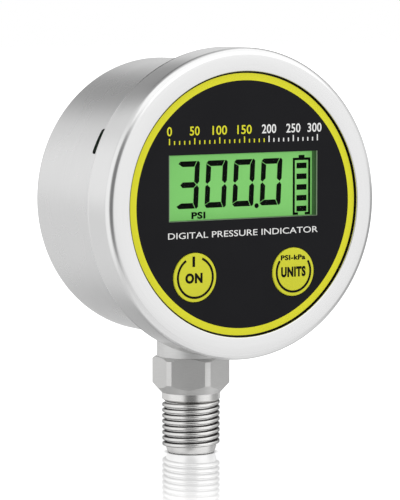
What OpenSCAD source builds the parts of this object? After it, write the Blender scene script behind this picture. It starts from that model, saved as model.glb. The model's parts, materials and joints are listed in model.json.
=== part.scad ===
// Battery powered digital pressure gauge: a round steel drum with a twist-off
// bezel, a backlit display, two push buttons and a tapered pipe thread below.
// The origin is the centre of the thread's lower end, and the face looks along -Y.

/* [Bezel] */
// Outside diameter of the bezel
bezel_d = 76; // [75:0.5:90]
// Width of the bezel's front ring, from its opening to its outside
bezel_face_w = 5.7; // [5.4:0.1:6.2]
// How far the bezel's front stands before the printed face
bezel_proud = 0.45; // [0.3:0.05:0.6]
// Rise of the bezel's front from its rounded edge to its opening
lip_rise = 0.4; // [0.2:0.05:0.5]
// Length of the bezel, from its front to the end of its skirt
bezel_len = 10.5; // [10.2:0.05:11.5]
// Sheet thickness of the bezel
bezel_wall = 0.8; // [0.7:0.05:1]
// Radius of the bezel's rounded front edge
bezel_round = 1.7; // [1.2:0.1:1.8]
// Radial room between the bezel's skirt and the case
skirt_gap = 2.5; // [2.2:0.1:2.8]
// Angle that the bezel turns to come off
turn_angle = 13; // [12:0.5:15]
// Number of bayonet tabs on the bezel
tab_count = 4; // [3:1:6]
// Place of the first bayonet tab, counterclockwise from the right
tab_angle = 153.5; // [150:0.5:160]

/* [Case] */
// Distance from the printed face to the back of the case
case_back = 43.7; // [41:0.1:60]
// Sheet thickness of the case
case_wall = 1; // [0.8:0.1:1.4]
// Outside radius of the case's rear edge
case_edge_r = 2.5; // [1.6:0.1:4]
// Radius of the sunk round panel in the back
sunk_r = 26; // [20:0.5:28]
// Depth of the sunk round panel in the back
sunk_depth = 1; // [0.7:0.1:1.5]
// Radius of the vent hole in the back
vent_r = 3; // [2:0.5:5]
// Height of the vent hole above the dial's centre
vent_z = 15; // [8:1:18]

/* [Face] */
// Thickness of the printed face sheet
sheet_t = 0.25; // [0.2:0.05:0.4]
// Width of the yellow ring on the face
ring_w = 1.75; // [1.2:0.05:3]
// Width of the black border outside the yellow ring
ring_border = 0.15; // [0.1:0.05:0.6]
// Width of the display window
window_w = 42.3; // [38:0.1:43]
// Height of the display window
window_h = 16; // [14:0.5:17]
// Height of the window's centre above the dial's centre
window_z = 4.5; // [3.8:0.1:5]
// Diameter of the push buttons
button_d = 11.9; // [9:0.1:12.5]
// Distance between the push buttons' edges and the face sheet's edge
button_inset = 4; // [3.8:0.1:4.4]
// Angle of each push button below the horizontal through the dial's centre
button_angle = 50.6; // [50:0.1:53]
// How far a push button travels
button_travel = 0.6; // [0.3:0.1:0.7]

/* [Display] */
// Width of a display digit
digit_w = 6; // [5:0.1:6.2]
// Width of a digit's strokes
stroke_w = 1.35; // [0.8:0.05:1.5]
// Gap between two strokes
stroke_gap = 0.2; // [0.1:0.05:0.3]

/* [Inside] */
// Thickness of the circuit board
board_t = 1.6; // [1:0.2:2]
// Length of the posts between the front panel and the board
post_len = 5.4; // [5:0.1:7]
// Diameter of a battery cell
cell_d = 10.5; // [10.2:0.1:10.8]
// Length of a battery cell with its tip
cell_len = 44.5; // [43.5:0.1:45]

/* [Stem] */
// How far the stem's axis lies before the middle of the bare drum
stem_shift = 1.45; // [0:0.05:2]
// Thread diameter at the lower end
thread_d = 13.26; // [12:0.02:13.5]
// Length of one thread turn
thread_pitch = 1.411; // [1.2:0.001:1.6]
// Length of the threaded part
thread_len = 13.4; // [10:0.1:20]
// Diameter of the plain collar above the thread
collar_d = 14.6; // [14.4:0.1:15.4]
// Length of the plain collar
collar_len = 1.8; // [1.5:0.1:4]
// Width across the hexagon's flats
hex_w = 17.5; // [16.6:0.1:22]
// Height of the hexagon
hex_len = 9.2; // [7:0.1:14]
// Diameter to which the hexagon's corners are turned
hex_turned_d = 19.4; // [18.2:0.1:20]
// Turn of the hexagon about the stem's axis
hex_turn = -35; // [-60:1:60]
// Diameter of the neck between hexagon and case
neck_d = 17.1; // [16.4:0.1:17.1]
// Length of the neck
neck_len = 4.7; // [3:0.1:10]
// Diameter of the pressure port in the thread's end
port_d = 4.5; // [3:0.1:6]
// Depth of the pressure port
port_len = 11; // [8:0.5:14]

/* [Hidden] */
$fn = 96;
// One overrun serves every cut
over = 1;

// Bezel and case radii, from the outside in
bezel_r = bezel_d / 2;
open_r = bezel_r - bezel_face_w;
skirt_in_r = bezel_r - bezel_wall;
case_r = skirt_in_r - skirt_gap;
case_in_r = case_r - case_wall;
lip_chamfer = 0.2;
skirt_chamfer = 0.3;

// Depths are counted from the printed face towards the back
bezel_front = -bezel_proud;
lip_front = bezel_front - lip_rise;
skirt_end = bezel_front + bezel_len;
lip_back = bezel_front + bezel_wall;
turn_gap = 0.1;
stem_depth = (skirt_end + case_back) / 2 - stem_shift;
gasket_t = 0.8;
gasket_front = lip_back + turn_gap;
flange_front = gasket_front + gasket_t;
flange_t = 1.4;
flange_back = flange_front + flange_t;
rim_seal_t = 0.5;
rim_front = flange_back + rim_seal_t;
board_front = flange_back + post_len;
board_back = board_front + board_t;

// Stem heights, from the thread's lower end up
collar_z = thread_len;
hex_z = collar_z + collar_len;
neck_z = hex_z + hex_len;
neck_top = neck_z + neck_len;
seal_t = 1;
seal_seat_r = 7.5;
seal_z = neck_top - seal_t;
seat_gap = 0.1;
dial_z = neck_top + seat_gap + case_r;
seal_rise = case_r - sqrt(pow(case_r, 2) - pow(neck_d / 2, 2));
face_y = -stem_depth;

// Bayonet tabs and the case slots that take them
tab_t = 0.7;
tab_span = 9;
tab_reach = 0.25;
tab_slot_gap = 0.15;
tab_side_gap = 0.5;
tab_back = skirt_end;
tab_front = tab_back - tab_t;
slot_len = 8.45;
slot_corner = 0.8;
slot_half_w = 3.45;
slot_front = tab_front - tab_slot_gap;
slot_back = tab_back + tab_slot_gap;

// Face sheet and window
sheet_gap = 0.3;
sheet_r = open_r - sheet_gap;
print_t = 0.05;
ring_r = sheet_r - ring_border;
pane_t = 0.8;
pane_margin = 1.5;
pane_gap = 0.1;

// Front panel
spigot_gap = 0.15;
spigot_w = 2;
spigot_len = 1.8;
key_w = 4;
key_len = 1.5;
key_gap = 0.15;
post_r = 2.3;
pilot_r = 1;
post_angles = [45, 135, 205.6, 334.4];
gasket_gap = 0.4;

// Push buttons and the switches behind them
button_r = button_d / 2;
button_ring_r = sheet_r - button_inset - button_r;
button_x = button_ring_r * cos(button_angle);
button_drop = button_ring_r * sin(button_angle);
button_gap = 0.15;
button_proud = 0.3;
cap_shoulder = 1.45;
cap_gap = 0.05;
cap_flange_w = 0.9;
cap_flange_t = 0.8;
cap_stem_r = 2;
switch_w = 6;
switch_t = 3.5;
plunger_r = 1.7;
plunger_gap = 0.05;
plunger_sunk = 0.6;
plunger_out = 0.65;
switch_front = board_front - switch_t;
plunger_front = switch_front - plunger_out;
plunger_back = switch_front + plunger_sunk;
plunger_bore = plunger_sunk + button_travel + plunger_gap;
mark_r = 5.15;
mark_w = 0.5;
on_mark_angle = 64;
units_mark_angle = 124;
on_bar_w = 0.7;
on_bar_h = 2.5;
on_bar_z = 2.5;

// Display stack
lcd_margin = 3.5;
lcd_w = window_w + 2 * lcd_margin;
lcd_h = window_h + 2 * lcd_margin;
lcd_pocket = 0.65;
lcd_lip_t = 0.65;
lcd_wall = 1.2;
lcd_gap = 0.15;
lcd_t = 2.2;
lcd_print_t = 0.05;
lcd_frame_front = flange_back - lcd_pocket;
lcd_front = lcd_frame_front + lcd_lip_t;
lcd_back = lcd_front + lcd_t;
lcd_frame_w = lcd_w + 2 * (lcd_wall + lcd_gap);
lcd_frame_h = lcd_h + 2 * (lcd_wall + lcd_gap);
reflector_t = 0.2;
strip_t = 1.2;
strip_gap = 0.2;
strip_inset = 4;
led_t = 1.2;
led_h = 3;
led_z = 5;
led_gap = 0.1;
guide_w = lcd_w - 2 * (led_t + 2 * led_gap);
guide_h = lcd_h - 2 * (strip_t + 2 * strip_gap);

// Battery sign at the right of the window
window_low = window_z - window_h / 2;
icon_side = 0.47;
icon_low = 0.15;
icon_high = 1.8;
icon_w = 5.1;
icon_x = window_w / 2 - icon_side - icon_w;
icon_z = window_low + icon_low;
icon_h = window_h - icon_low - icon_high;
icon_line = 0.6;
icon_cap_w = 1.7;
icon_cap_h = 0.65;
icon_open_w = 2;
bar_count = 5;
bar_w = 2.9;
bar_h = 1.36;
bar_low = 0.82;
bar_high = 1.26;
bar_step = (icon_h - bar_low - bar_high - bar_h) / (bar_count - 1);

// Digits at the left of the window, with a dot before the last one
digit_count = 4;
digit_side = 3.6;
digit_low = 2.85;
digit_high = 1.7;
icon_gap = 3.6;
digit_x = digit_side - window_w / 2;
digit_z = window_low + digit_low;
digit_h = window_h - digit_low - digit_high;
digit_step = (icon_x - icon_gap - digit_w - digit_x) / (digit_count - 1);
lean_share = 0.052;
corner_share = 0.45;
mitre_share = 0.65;
edge_share = 0.3;
tip_share = 0.38;
dot_r = 0.6;
dot_side = 0.85;
dot_x = digit_x + (digit_count - 1) * digit_step - dot_side;
dot_z = digit_z;

// Tick scale over the window
tick_count = 31;
tick_span = 42;
tick_w = 0.3;
tick_short = 0.9;
tick_long = 1.5;
tick_z = 15;
tick_every = 5;

// Circuit board and its parts
board_gap = 2.5;
board_r = case_in_r - board_gap;
post_inset = 2;
post_ring_r = board_r - post_inset;
post_places = [for (angle = post_angles) post_ring_r * [cos(angle), sin(angle)]];
screw_r = 0.95;
screw_hole_r = 1.25;
screw_head_r = 2.05;
screw_head_t = 1.3;
screw_slot_w = 0.5;
screw_slot_t = 0.6;
screw_len = 4;
screw_tip_gap = 0.5;
chip_w = 9;
chip_t = 1.4;
chip_x = -9;
chip_z = 5;
amp_w = 5;
amp_x = 8;
amp_z = -4;
resistor_count = 6;
resistor_l = 1.6;
resistor_w = 0.8;
resistor_t = 0.6;
resistor_step = 2.6;
resistor_x = 1;
resistor_z = 12;

// Battery holder behind the board
cell_count = 3;
holder_stand = 2;
holder_base_t = 1.5;
holder_wall = 1.2;
holder_z = 1;
cell_r = cell_d / 2;
cell_room = 0.5;
cell_step = cell_d + cell_room;
cell_lift = 0.1;
end_room = 1.3;
contact_t = 0.3;
contact_w = 7;
contact_gap = 0.1;
leaf_reach = 0.95;
leaf_rise = 2;
tip_r = 1.9;
tip_len = 0.8;
holder_w = cell_len + 2 * (end_room + holder_wall);
holder_h = cell_count * cell_step + 2 * holder_wall;
holder_front = board_back + holder_stand;
holder_floor = holder_front + holder_base_t;
cell_depth = holder_floor + cell_lift + cell_r;
end_wall_h = 8.5;
side_wall_h = 5;
stand_r = 2;
stand_inset = 4;
peg_r = 0.9;
peg_gap = 0.1;

// Stem, its fixing and the pressure sensor
thread_sides = 48;
knots = 3;
knot_shares = [0, 0.475, 0.525];
level_shares = [0, 1, 1];
taper_share = 1 / 32;
thread_h_share = 0.8;
start_share = 0.15;
end_share = 1.3;
lead_len = 2.2;
lead_gap = 0.12;
collar_chamfer = 0.2;
hex_chamfer_top = 0.75;
hex_chamfer_low = 2.4;
hex_top_r = 8.6;
hex_low_r = 7.45;
spigot_r = 6.4;
bore_gap = 0.1;
saddle_r = 10.5;
saddle_t = 3;
nut_w = 19;
nut_t = 4;
nut_gap = 0.05;
saddle_z = dial_z - case_in_r + saddle_t;
nut_z = saddle_z + nut_t;
spigot_out = 2.5;
spigot_z = nut_z + spigot_out;
well_r = 5;
well_len = 6;
well_z = spigot_z - well_len;
passage_r = 1.2;
ring_minor_r = 0.7;
ring_major_r = 3.9;
sensor_gap = 0.1;
sensor_flange_t = 2;
sensor_can_r = 3.6;
sensor_can_len = 3.6;
sensor_z = well_z + 2 * ring_minor_r;
sensor_step_z = sensor_z + sensor_flange_t;
sensor_top_z = sensor_step_z + sensor_can_len;
pin_r = 0.25;
pin_len = 0.6;
pin_place = 1.8;
pin_count = 4;
sensor_board_r = 6;
sensor_board_t = 0.8;
sensor_board_z = sensor_top_z + pin_len;

// Ribbon between the sensor's board and the main board
ribbon_w = 8;
ribbon_t = 0.3;
ribbon_bend = 0.9;
ribbon_tail = 3;
ribbon_bend_y = -7.5;
ribbon_z = sensor_board_z + sensor_board_t;
socket_w = 11;
socket_h = 3;
socket_t = 3;
socket_back = board_back + socket_t;
socket_sink = 1.5;

// Vent plug in the back
plug_flange_w = 1.5;
plug_flange_t = 0.6;
plug_snap = 0.4;
plug_hole_r = 0.4;
plug_gap = 0.05;

// A flat piece parallel to the face, from a depth backwards
module slab(depth, thick) {
    translate([0, face_y + depth + thick, dial_z])
        rotate([90, 0, 0])
            linear_extrude(thick)
                children();
}

// A piece turned about the dial's axis, from an outline of radius and depth
module turned() {
    translate([0, face_y, dial_z])
        rotate([-90, 0, 0])
            rotate_extrude()
                children();
}

// A cutter that looks outwards from the dial's axis, at an angle round it
module outward(angle) {
    translate([0, face_y, dial_z])
        rotate([0, -angle, 0])
            rotate([0, 90, 0])
                children();
}

module ring(outer, inner) {
    difference() {
        circle(outer);
        circle(inner);
    }
}

module centred(w, h, x = 0, z = 0) {
    translate([x - w / 2, z - h / 2])
        square([w, h]);
}

// The key that stops the front panel from turning, or its notch with a gap
module key_area(gap) {
    centred(key_w + 2 * gap, 2 * case_wall, 0, case_r);
}

// A flat sector of a ring, counterclockwise from one angle to another
module sector(outer, inner, from, to) {
    reach = 2 * outer;
    middle = (from + to) / 2;
    intersection() {
        ring(outer, inner);
        polygon([
            [0, 0],
            reach * [cos(from), sin(from)],
            reach * [cos(middle), sin(middle)],
            reach * [cos(to), sin(to)]
        ]);
    }
}

// Outline of the bezel's outside: a slightly raised lip, a rounded edge and a straight skirt
module bezel_outline() {
    round_r = bezel_r - bezel_round;
    round_depth = bezel_front + bezel_round;
    translate([0, bezel_front])
        square([round_r, bezel_len]);
    polygon([
        [0, round_depth],
        [0, lip_front],
        [open_r, lip_front],
        [round_r, bezel_front],
        [round_r, round_depth]
    ]);
    translate([0, round_depth])
        square([bezel_r, skirt_end - skirt_chamfer - round_depth]);
    translate([round_r, round_depth])
        circle(bezel_round);
    polygon([
        [0, skirt_end - skirt_chamfer],
        [bezel_r, skirt_end - skirt_chamfer],
        [bezel_r - skirt_chamfer, skirt_end],
        [0, skirt_end]
    ]);
}

module bezel_ring() {
    color([0.83, 0.84, 0.84]) {
        turned()
            difference() {
                bezel_outline();
                translate([0, lip_back])
                    square([skirt_in_r, bezel_len]);
                translate([0, lip_front - over])
                    square([open_r, lip_back - lip_front + 2 * over]);
                polygon([
                    [0, lip_front - lip_chamfer],
                    [open_r + 2 * lip_chamfer, lip_front - lip_chamfer],
                    [open_r, lip_front + lip_chamfer],
                    [0, lip_front + lip_chamfer]
                ]);
            }
        slab(tab_front, tab_t)
            for (k = [0 : tab_count - 1]) {
                middle = tab_angle + k * 360 / tab_count;
                sector(skirt_in_r + bezel_wall / 2, case_in_r - tab_reach,
                    middle - tab_span / 2, middle + tab_span / 2);
            }
    }
}

// Area of the drum's section inside its wall, or of the whole drum at inset 0
module drum_area(inset, front) {
    radius = case_r - inset;
    back = case_back - inset;
    edge = case_edge_r - inset;
    difference() {
        union() {
            translate([0, front])
                square([radius, back - edge - front]);
            translate([0, front])
                square([radius - edge, back - front]);
            translate([radius - edge, back - edge])
                circle(edge);
        }
        translate([0, back - sunk_depth])
            square([sunk_r + inset, sunk_depth + over]);
    }
}

// One bayonet opening: an entry from the rim, a run behind it and a wide end
module bayonet_opening(middle) {
    tab_room = tab_span / 2 + tab_side_gap;
    wide_r = case_r + over;
    deep_r = case_in_r - over;
    slab(slot_front, slot_back - slot_front)
        sector(wide_r, deep_r, middle - tab_room, middle + turn_angle + tab_room);
    slab(rim_front - over, slot_back - rim_front + over)
        sector(wide_r, deep_r, middle + turn_angle - tab_room, middle + turn_angle + tab_room);
    back = slot_front + slot_len;
    inner = slot_half_w - slot_corner;
    outward(middle)
        translate([0, 0, deep_r])
            linear_extrude(wide_r - deep_r)
                polygon([
                    [-slot_half_w, tab_front],
                    [slot_half_w, tab_front],
                    [slot_half_w, back - slot_corner],
                    [inner, back],
                    [-inner, back],
                    [-slot_half_w, back - slot_corner]
                ]);
}

module case_shell() {
    color([0.75, 0.76, 0.76])
        difference() {
            turned()
                difference() {
                    drum_area(0, rim_front);
                    drum_area(case_wall, rim_front - over);
                }
            for (k = [0 : tab_count - 1])
                bayonet_opening(tab_angle + k * 360 / tab_count);
            slab(rim_front - over, key_len + over)
                key_area(key_gap);
            translate([0, 0, dial_z - case_r - over])
                cylinder(r = spigot_r + bore_gap, h = case_wall + 3 * over);
            slab(case_back - sunk_depth - case_wall - over, case_wall + 2 * over)
                translate([0, vent_z])
                    circle(vent_r);
        }
}

module bezel_gasket() {
    color([0.12, 0.12, 0.12])
        slab(gasket_front, gasket_t)
            ring(case_r, sheet_r + gasket_gap);
}

module rim_seal() {
    color([0.12, 0.12, 0.12])
        slab(flange_back, rim_seal_t)
            difference() {
                ring(case_r, case_in_r + spigot_gap);
                key_area(key_gap);
            }
}

// Both push buttons' places, as the children are drawn once for each side
module at_button(side) {
    translate([side * button_x, -button_drop])
        children();
}

module front_panel() {
    color([0.13, 0.13, 0.14])
        difference() {
            union() {
                slab(sheet_t, flange_front - sheet_t)
                    circle(sheet_r);
                slab(flange_front, flange_t)
                    circle(case_r);
                slab(flange_back, spigot_len)
                    ring(case_in_r - spigot_gap, case_in_r - spigot_gap - spigot_w);
                slab(flange_back, key_len)
                    intersection() {
                        ring(case_r, case_in_r - spigot_gap - spigot_w);
                        key_area(0);
                    }
                slab(flange_back, post_len)
                    for (place = post_places)
                        translate(place)
                            circle(post_r);
            }
            slab(sheet_t - over, flange_back - sheet_t + 2 * over)
                centred(window_w, window_h, 0, window_z);
            slab(sheet_t - over, pane_t + pane_gap + over)
                centred(window_w + 2 * pane_margin, window_h + 2 * pane_margin, 0, window_z);
            slab(lcd_frame_front, lcd_pocket + over)
                centred(lcd_frame_w + 2 * lcd_gap, lcd_frame_h + 2 * lcd_gap, 0, window_z);
            for (side = [-1, 1]) {
                slab(sheet_t - over, flange_back - sheet_t + 2 * over)
                    at_button(side)
                        circle(button_r + button_gap);
                slab(cap_shoulder, flange_back - cap_shoulder + over)
                    at_button(side)
                        circle(button_r + cap_flange_w + 2 * button_gap);
            }
            slab(board_front - screw_len, screw_len + over)
                for (place = post_places)
                    translate(place)
                        circle(pilot_r);
        }
}

module face_sheet() {
    color([0.16, 0.16, 0.17])
        slab(0, sheet_t)
            difference() {
                circle(sheet_r);
                centred(window_w, window_h, 0, window_z);
                for (side = [-1, 1])
                    at_button(side)
                        circle(button_r + button_gap);
            }
}

module face_ring() {
    color([0.88, 0.86, 0.2])
        slab(-print_t, print_t)
            ring(ring_r, ring_r - ring_w);
}

module scale_ticks() {
    color([0.88, 0.86, 0.2])
        slab(-print_t, print_t)
            for (k = [0 : tick_count - 1]) {
                tall = k % tick_every == 0 ? tick_long : tick_short;
                x = tick_span * (k / (tick_count - 1) - 1 / 2);
                centred(tick_w, tall, x, tick_z + tall / 2);
            }
}

module display_window() {
    color([0.85, 0.9, 0.88, 0.35])
        slab(sheet_t, pane_t)
            centred(window_w + 2 * (pane_margin - pane_gap),
                window_h + 2 * (pane_margin - pane_gap), 0, window_z);
}

// A button cap: the visible disc, a flange that holds it in, and a short stem
module button_cap(side) {
    color([0.84, 0.84, 0.2]) {
        flange_depth = cap_shoulder + cap_gap;
        slab(-button_proud, flange_depth + button_proud)
            at_button(side)
                circle(button_r);
        slab(flange_depth, cap_flange_t)
            at_button(side)
                circle(button_r + cap_flange_w);
        slab(flange_depth, plunger_front - flange_depth)
            at_button(side)
                circle(cap_stem_r);
    }
}

module on_button() {
    button_cap(-1);
}

module units_button() {
    button_cap(1);
}

// A printed arc on a button, open at the top
module arc_mark(open_angle) {
    sector(mark_r, mark_r - mark_w, 90 + open_angle / 2, 270);
    sector(mark_r, mark_r - mark_w, -90, 90 - open_angle / 2);
}

module on_button_mark() {
    color([0.1, 0.1, 0.1])
        slab(-button_proud - print_t, print_t)
            at_button(-1) {
                arc_mark(on_mark_angle);
                centred(on_bar_w, on_bar_h, 0, on_bar_z + on_bar_h / 2);
            }
}

module units_button_mark() {
    color([0.1, 0.1, 0.1])
        slab(-button_proud - print_t, print_t)
            at_button(1)
                arc_mark(units_mark_angle);
}

module plunger(side) {
    color([0.15, 0.15, 0.15])
        slab(plunger_front, plunger_back - plunger_front)
            at_button(side)
                circle(plunger_r);
}

module on_plunger() {
    plunger(-1);
}

module units_plunger() {
    plunger(1);
}

module switch_body(side) {
    color([0.7, 0.7, 0.68])
        difference() {
            slab(switch_front, switch_t)
                at_button(side)
                    centred(switch_w, switch_w);
            slab(switch_front - over, plunger_bore + over)
                at_button(side)
                    circle(plunger_r + plunger_gap);
        }
}

module on_switch() {
    switch_body(-1);
}

module units_switch() {
    switch_body(1);
}

module lcd_frame() {
    color([0.1, 0.1, 0.1])
        difference() {
            slab(lcd_frame_front, board_front - lcd_frame_front)
                centred(lcd_frame_w, lcd_frame_h, 0, window_z);
            slab(lcd_front, board_front - lcd_front + over)
                centred(lcd_w + 2 * lcd_gap, lcd_h + 2 * lcd_gap, 0, window_z);
            slab(lcd_frame_front - over, lcd_lip_t + 2 * over)
                centred(window_w, window_h, 0, window_z);
        }
}

module lcd_glass() {
    color([0.5, 0.8, 0.42])
        slab(lcd_front, lcd_t)
            centred(lcd_w, lcd_h, 0, window_z);
}

// Leans a digit's points to the right as they rise
function lean(points) = [for (p = points) [p[0] + lean_share * p[1], p[1]]];

// The top stroke of a digit, which holds the upper left corner
function top_stroke() = [
    [stroke_w * corner_share, digit_h],
    [digit_w - stroke_w * mitre_share, digit_h],
    [digit_w - stroke_w - stroke_gap, digit_h - stroke_w],
    [stroke_w - stroke_gap / 2, digit_h - stroke_w],
    [0, digit_h - stroke_w * corner_share]
];

// The upper right stroke, which holds the upper right corner and is pointed below
function right_stroke() = [
    [digit_w - stroke_w * mitre_share + stroke_gap, digit_h],
    [digit_w - stroke_w * edge_share, digit_h],
    [digit_w, digit_h - stroke_w * edge_share],
    [digit_w, digit_h / 2 + stroke_w / 2 + stroke_gap / 2],
    [digit_w - stroke_w * tip_share, digit_h / 2 + stroke_gap / 2],
    [digit_w - stroke_w, digit_h / 2 + stroke_w / 2 + stroke_gap / 2],
    [digit_w - stroke_w, digit_h - stroke_w]
];

// The upper left stroke, which starts under the top stroke and is pointed below
function left_stroke() = [
    [0, digit_h - stroke_w * corner_share - stroke_gap],
    [stroke_w, digit_h - stroke_w - stroke_gap],
    [stroke_w, digit_h / 2 + stroke_w / 2 + stroke_gap],
    [stroke_w * tip_share, digit_h / 2 + stroke_gap / 2],
    [0, digit_h / 2 + stroke_w * edge_share + stroke_gap / 2]
];

// The middle stroke of a digit, pointed at both ends
function middle_stroke() = [
    [stroke_w / 2 + stroke_gap / 2, digit_h / 2],
    [stroke_w + stroke_gap / 2, digit_h / 2 + stroke_w / 2],
    [digit_w - stroke_w - stroke_gap / 2, digit_h / 2 + stroke_w / 2],
    [digit_w - stroke_w / 2 - stroke_gap / 2, digit_h / 2],
    [digit_w - stroke_w - stroke_gap / 2, digit_h / 2 - stroke_w / 2],
    [stroke_w + stroke_gap / 2, digit_h / 2 - stroke_w / 2]
];

function flip_z(points) = [for (p = points) [p[0], digit_h - p[1]]];

// Strokes a to g in the usual order of a seven-stroke digit
function stroke(name) =
    name == "a" ? top_stroke() :
    name == "b" ? right_stroke() :
    name == "c" ? flip_z(right_stroke()) :
    name == "d" ? flip_z(top_stroke()) :
    name == "e" ? flip_z(left_stroke()) :
    name == "f" ? left_stroke() :
    middle_stroke();

module digit(place, strokes) {
    translate([digit_x + place * digit_step, digit_z])
        for (name = strokes)
            polygon(lean(stroke(name)));
}

module battery_icon() {
    middle = icon_x + icon_w / 2;
    translate([icon_x, icon_z])
        difference() {
            square([icon_w, icon_h]);
            translate([icon_line, icon_line])
                square([icon_w - 2 * icon_line, icon_h - 2 * icon_line]);
            translate([(icon_w - icon_open_w) / 2, -over])
                square([icon_open_w, icon_line + 2 * over]);
        }
    centred(icon_cap_w, icon_cap_h, middle, icon_z + icon_h + icon_cap_h / 2);
    for (k = [0 : bar_count - 1])
        centred(bar_w, bar_h, middle, icon_z + bar_low + bar_h / 2 + k * bar_step);
}

module lcd_segments() {
    color([0.05, 0.06, 0.05])
        slab(lcd_front - lcd_print_t, lcd_print_t) {
            digit(0, "abcdg");
            digit(1, "abcdef");
            digit(2, "abcdef");
            digit(3, "abcdef");
            translate([dot_x, dot_z])
                circle(dot_r);
            battery_icon();
        }
}

module lcd_contact_strips() {
    color([0.3, 0.3, 0.3])
        slab(lcd_back, board_front - lcd_back)
            for (side = [-1, 1])
                centred(lcd_w - 2 * strip_inset, strip_t, 0,
                    window_z + side * (lcd_h / 2 - strip_gap - strip_t / 2));
}

module backlight_guide() {
    color([0.8, 0.9, 0.75])
        slab(lcd_back, board_front - reflector_t - lcd_back)
            centred(guide_w, guide_h, 0, window_z);
}

module backlight_reflector() {
    color([0.95, 0.95, 0.95])
        slab(board_front - reflector_t, reflector_t)
            centred(guide_w, guide_h, 0, window_z);
}

module backlight_leds() {
    color([0.7, 0.95, 0.5])
        slab(board_front - led_t - led_gap, led_t + led_gap)
            for (side = [-1, 1])
                for (end = [-1, 1])
                    centred(led_t, led_h,
                        side * (lcd_w / 2 - led_gap - led_t / 2), window_z + end * led_z);
}

// The four stands of the battery holder, as the children are drawn at each
module at_stands() {
    for (side = [-1, 1])
        for (end = [-1, 1])
            translate([side * (holder_w / 2 - stand_inset - stand_r),
                holder_z + end * (holder_h / 2 - stand_r)])
                children();
}

module main_board() {
    color([0.1, 0.35, 0.2])
        slab(board_front, board_t)
            difference() {
                circle(board_r);
                for (place = post_places)
                    translate(place)
                        circle(screw_hole_r);
                at_stands()
                    circle(peg_r + peg_gap);
            }
}

module processor_chip() {
    color([0.12, 0.12, 0.12])
        slab(board_back, chip_t)
            centred(chip_w, chip_w, chip_x, chip_z);
}

module board_parts() {
    color([0.35, 0.3, 0.25]) {
        slab(board_back, chip_t)
            centred(amp_w, amp_w, amp_x, amp_z);
        slab(board_back, resistor_t)
            for (k = [0 : resistor_count - 1]) {
                centred(resistor_l, resistor_w, resistor_x + k * resistor_step, resistor_z);
                centred(resistor_l, resistor_w, resistor_x + k * resistor_step,
                    resistor_z - resistor_step);
            }
    }
}

module board_screws() {
    color([0.75, 0.75, 0.72])
        for (place = post_places)
            difference() {
                union() {
                    slab(board_back, screw_head_t)
                        translate(place)
                            circle(screw_head_r);
                    slab(board_front - screw_len + screw_tip_gap, screw_len - screw_tip_gap + board_t)
                        translate(place)
                            circle(screw_r);
                }
                slab(board_back + screw_head_t - screw_slot_t, screw_slot_t + over)
                    translate(place) {
                        centred(2 * screw_r, screw_slot_w);
                        centred(screw_slot_w, 2 * screw_r);
                    }
            }
}

function cell_z(k) = holder_z + cell_step * (k - (cell_count - 1) / 2);

module battery_holder() {
    slot_t = contact_t + 2 * contact_gap;
    slot_x = cell_len / 2 + end_room - contact_t / 2;
    color([0.1, 0.1, 0.11])
        difference() {
            union() {
                slab(holder_front, holder_base_t)
                    centred(holder_w, holder_h, 0, holder_z);
                slab(holder_front, holder_base_t + end_wall_h)
                    for (side = [-1, 1])
                        centred(holder_wall, holder_h, side * (holder_w - holder_wall) / 2, holder_z);
                slab(holder_front, holder_base_t + side_wall_h)
                    for (side = [-1, 1])
                        centred(holder_w, holder_wall, 0,
                            holder_z + side * (holder_h - holder_wall) / 2);
                slab(board_back, holder_stand)
                    at_stands()
                        circle(stand_r);
                slab(board_front, board_t + holder_stand)
                    at_stands()
                        circle(peg_r);
            }
            slab(holder_front - over, holder_base_t + 2 * over)
                for (side = [-1, 1])
                    for (k = [0 : cell_count - 1])
                        centred(slot_t, contact_w + 2 * contact_gap, side * slot_x, cell_z(k));
        }
}

// A battery cell lying along X, with its tip to the right or to the left
module cell(k) {
    way = k % 2 == 0 ? 1 : -1;
    body_len = cell_len - tip_len;
    translate([0, face_y + cell_depth, dial_z + cell_z(k)])
        rotate([0, way * 90, 0]) {
            color([0.2, 0.3, 0.45])
                translate([0, 0, -cell_len / 2])
                    cylinder(r = cell_r, h = body_len);
            color([0.8, 0.8, 0.78])
                translate([0, 0, -cell_len / 2])
                    cylinder(r = tip_r, h = cell_len);
        }
}

module battery_1() {
    cell(0);
}

module battery_2() {
    cell(1);
}

module battery_3() {
    cell(2);
}

// Sprung contacts on one side: a plate from the board, and a leaf to each cell
module contacts(side) {
    plate_x = cell_len / 2 + end_room;
    low = face_y + board_back;
    high = face_y + cell_depth + leaf_rise;
    middle = face_y + cell_depth;
    color([0.8, 0.75, 0.55])
        for (k = [0 : cell_count - 1])
            translate([0, 0, dial_z + cell_z(k) - contact_w / 2])
                linear_extrude(contact_w)
                    polygon([
                        [side * plate_x, low],
                        [side * plate_x, high],
                        [side * (plate_x - contact_t), high],
                        [side * (plate_x - contact_t - leaf_reach), middle],
                        [side * (plate_x - leaf_reach), middle],
                        [side * (plate_x - contact_t), high - 2 * contact_t],
                        [side * (plate_x - contact_t), low]
                    ]);
}

module left_contacts() {
    contacts(-1);
}

module right_contacts() {
    contacts(1);
}

// Radius of the thread's surface, from its level (0 root, 1 crest) and height
thread_h = thread_h_share * thread_pitch;
thread_r = thread_d / 2;
lead_r = thread_r - thread_h - lead_gap;
lead_top_r = thread_r + taper_share * lead_len;
function thread_radius(level, z) = min(
    thread_r - thread_h + taper_share * z + level * thread_h,
    max(lead_r + lead_gap, lead_r + lead_gap + (lead_top_r - lead_r - lead_gap) * z / lead_len)
);

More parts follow.
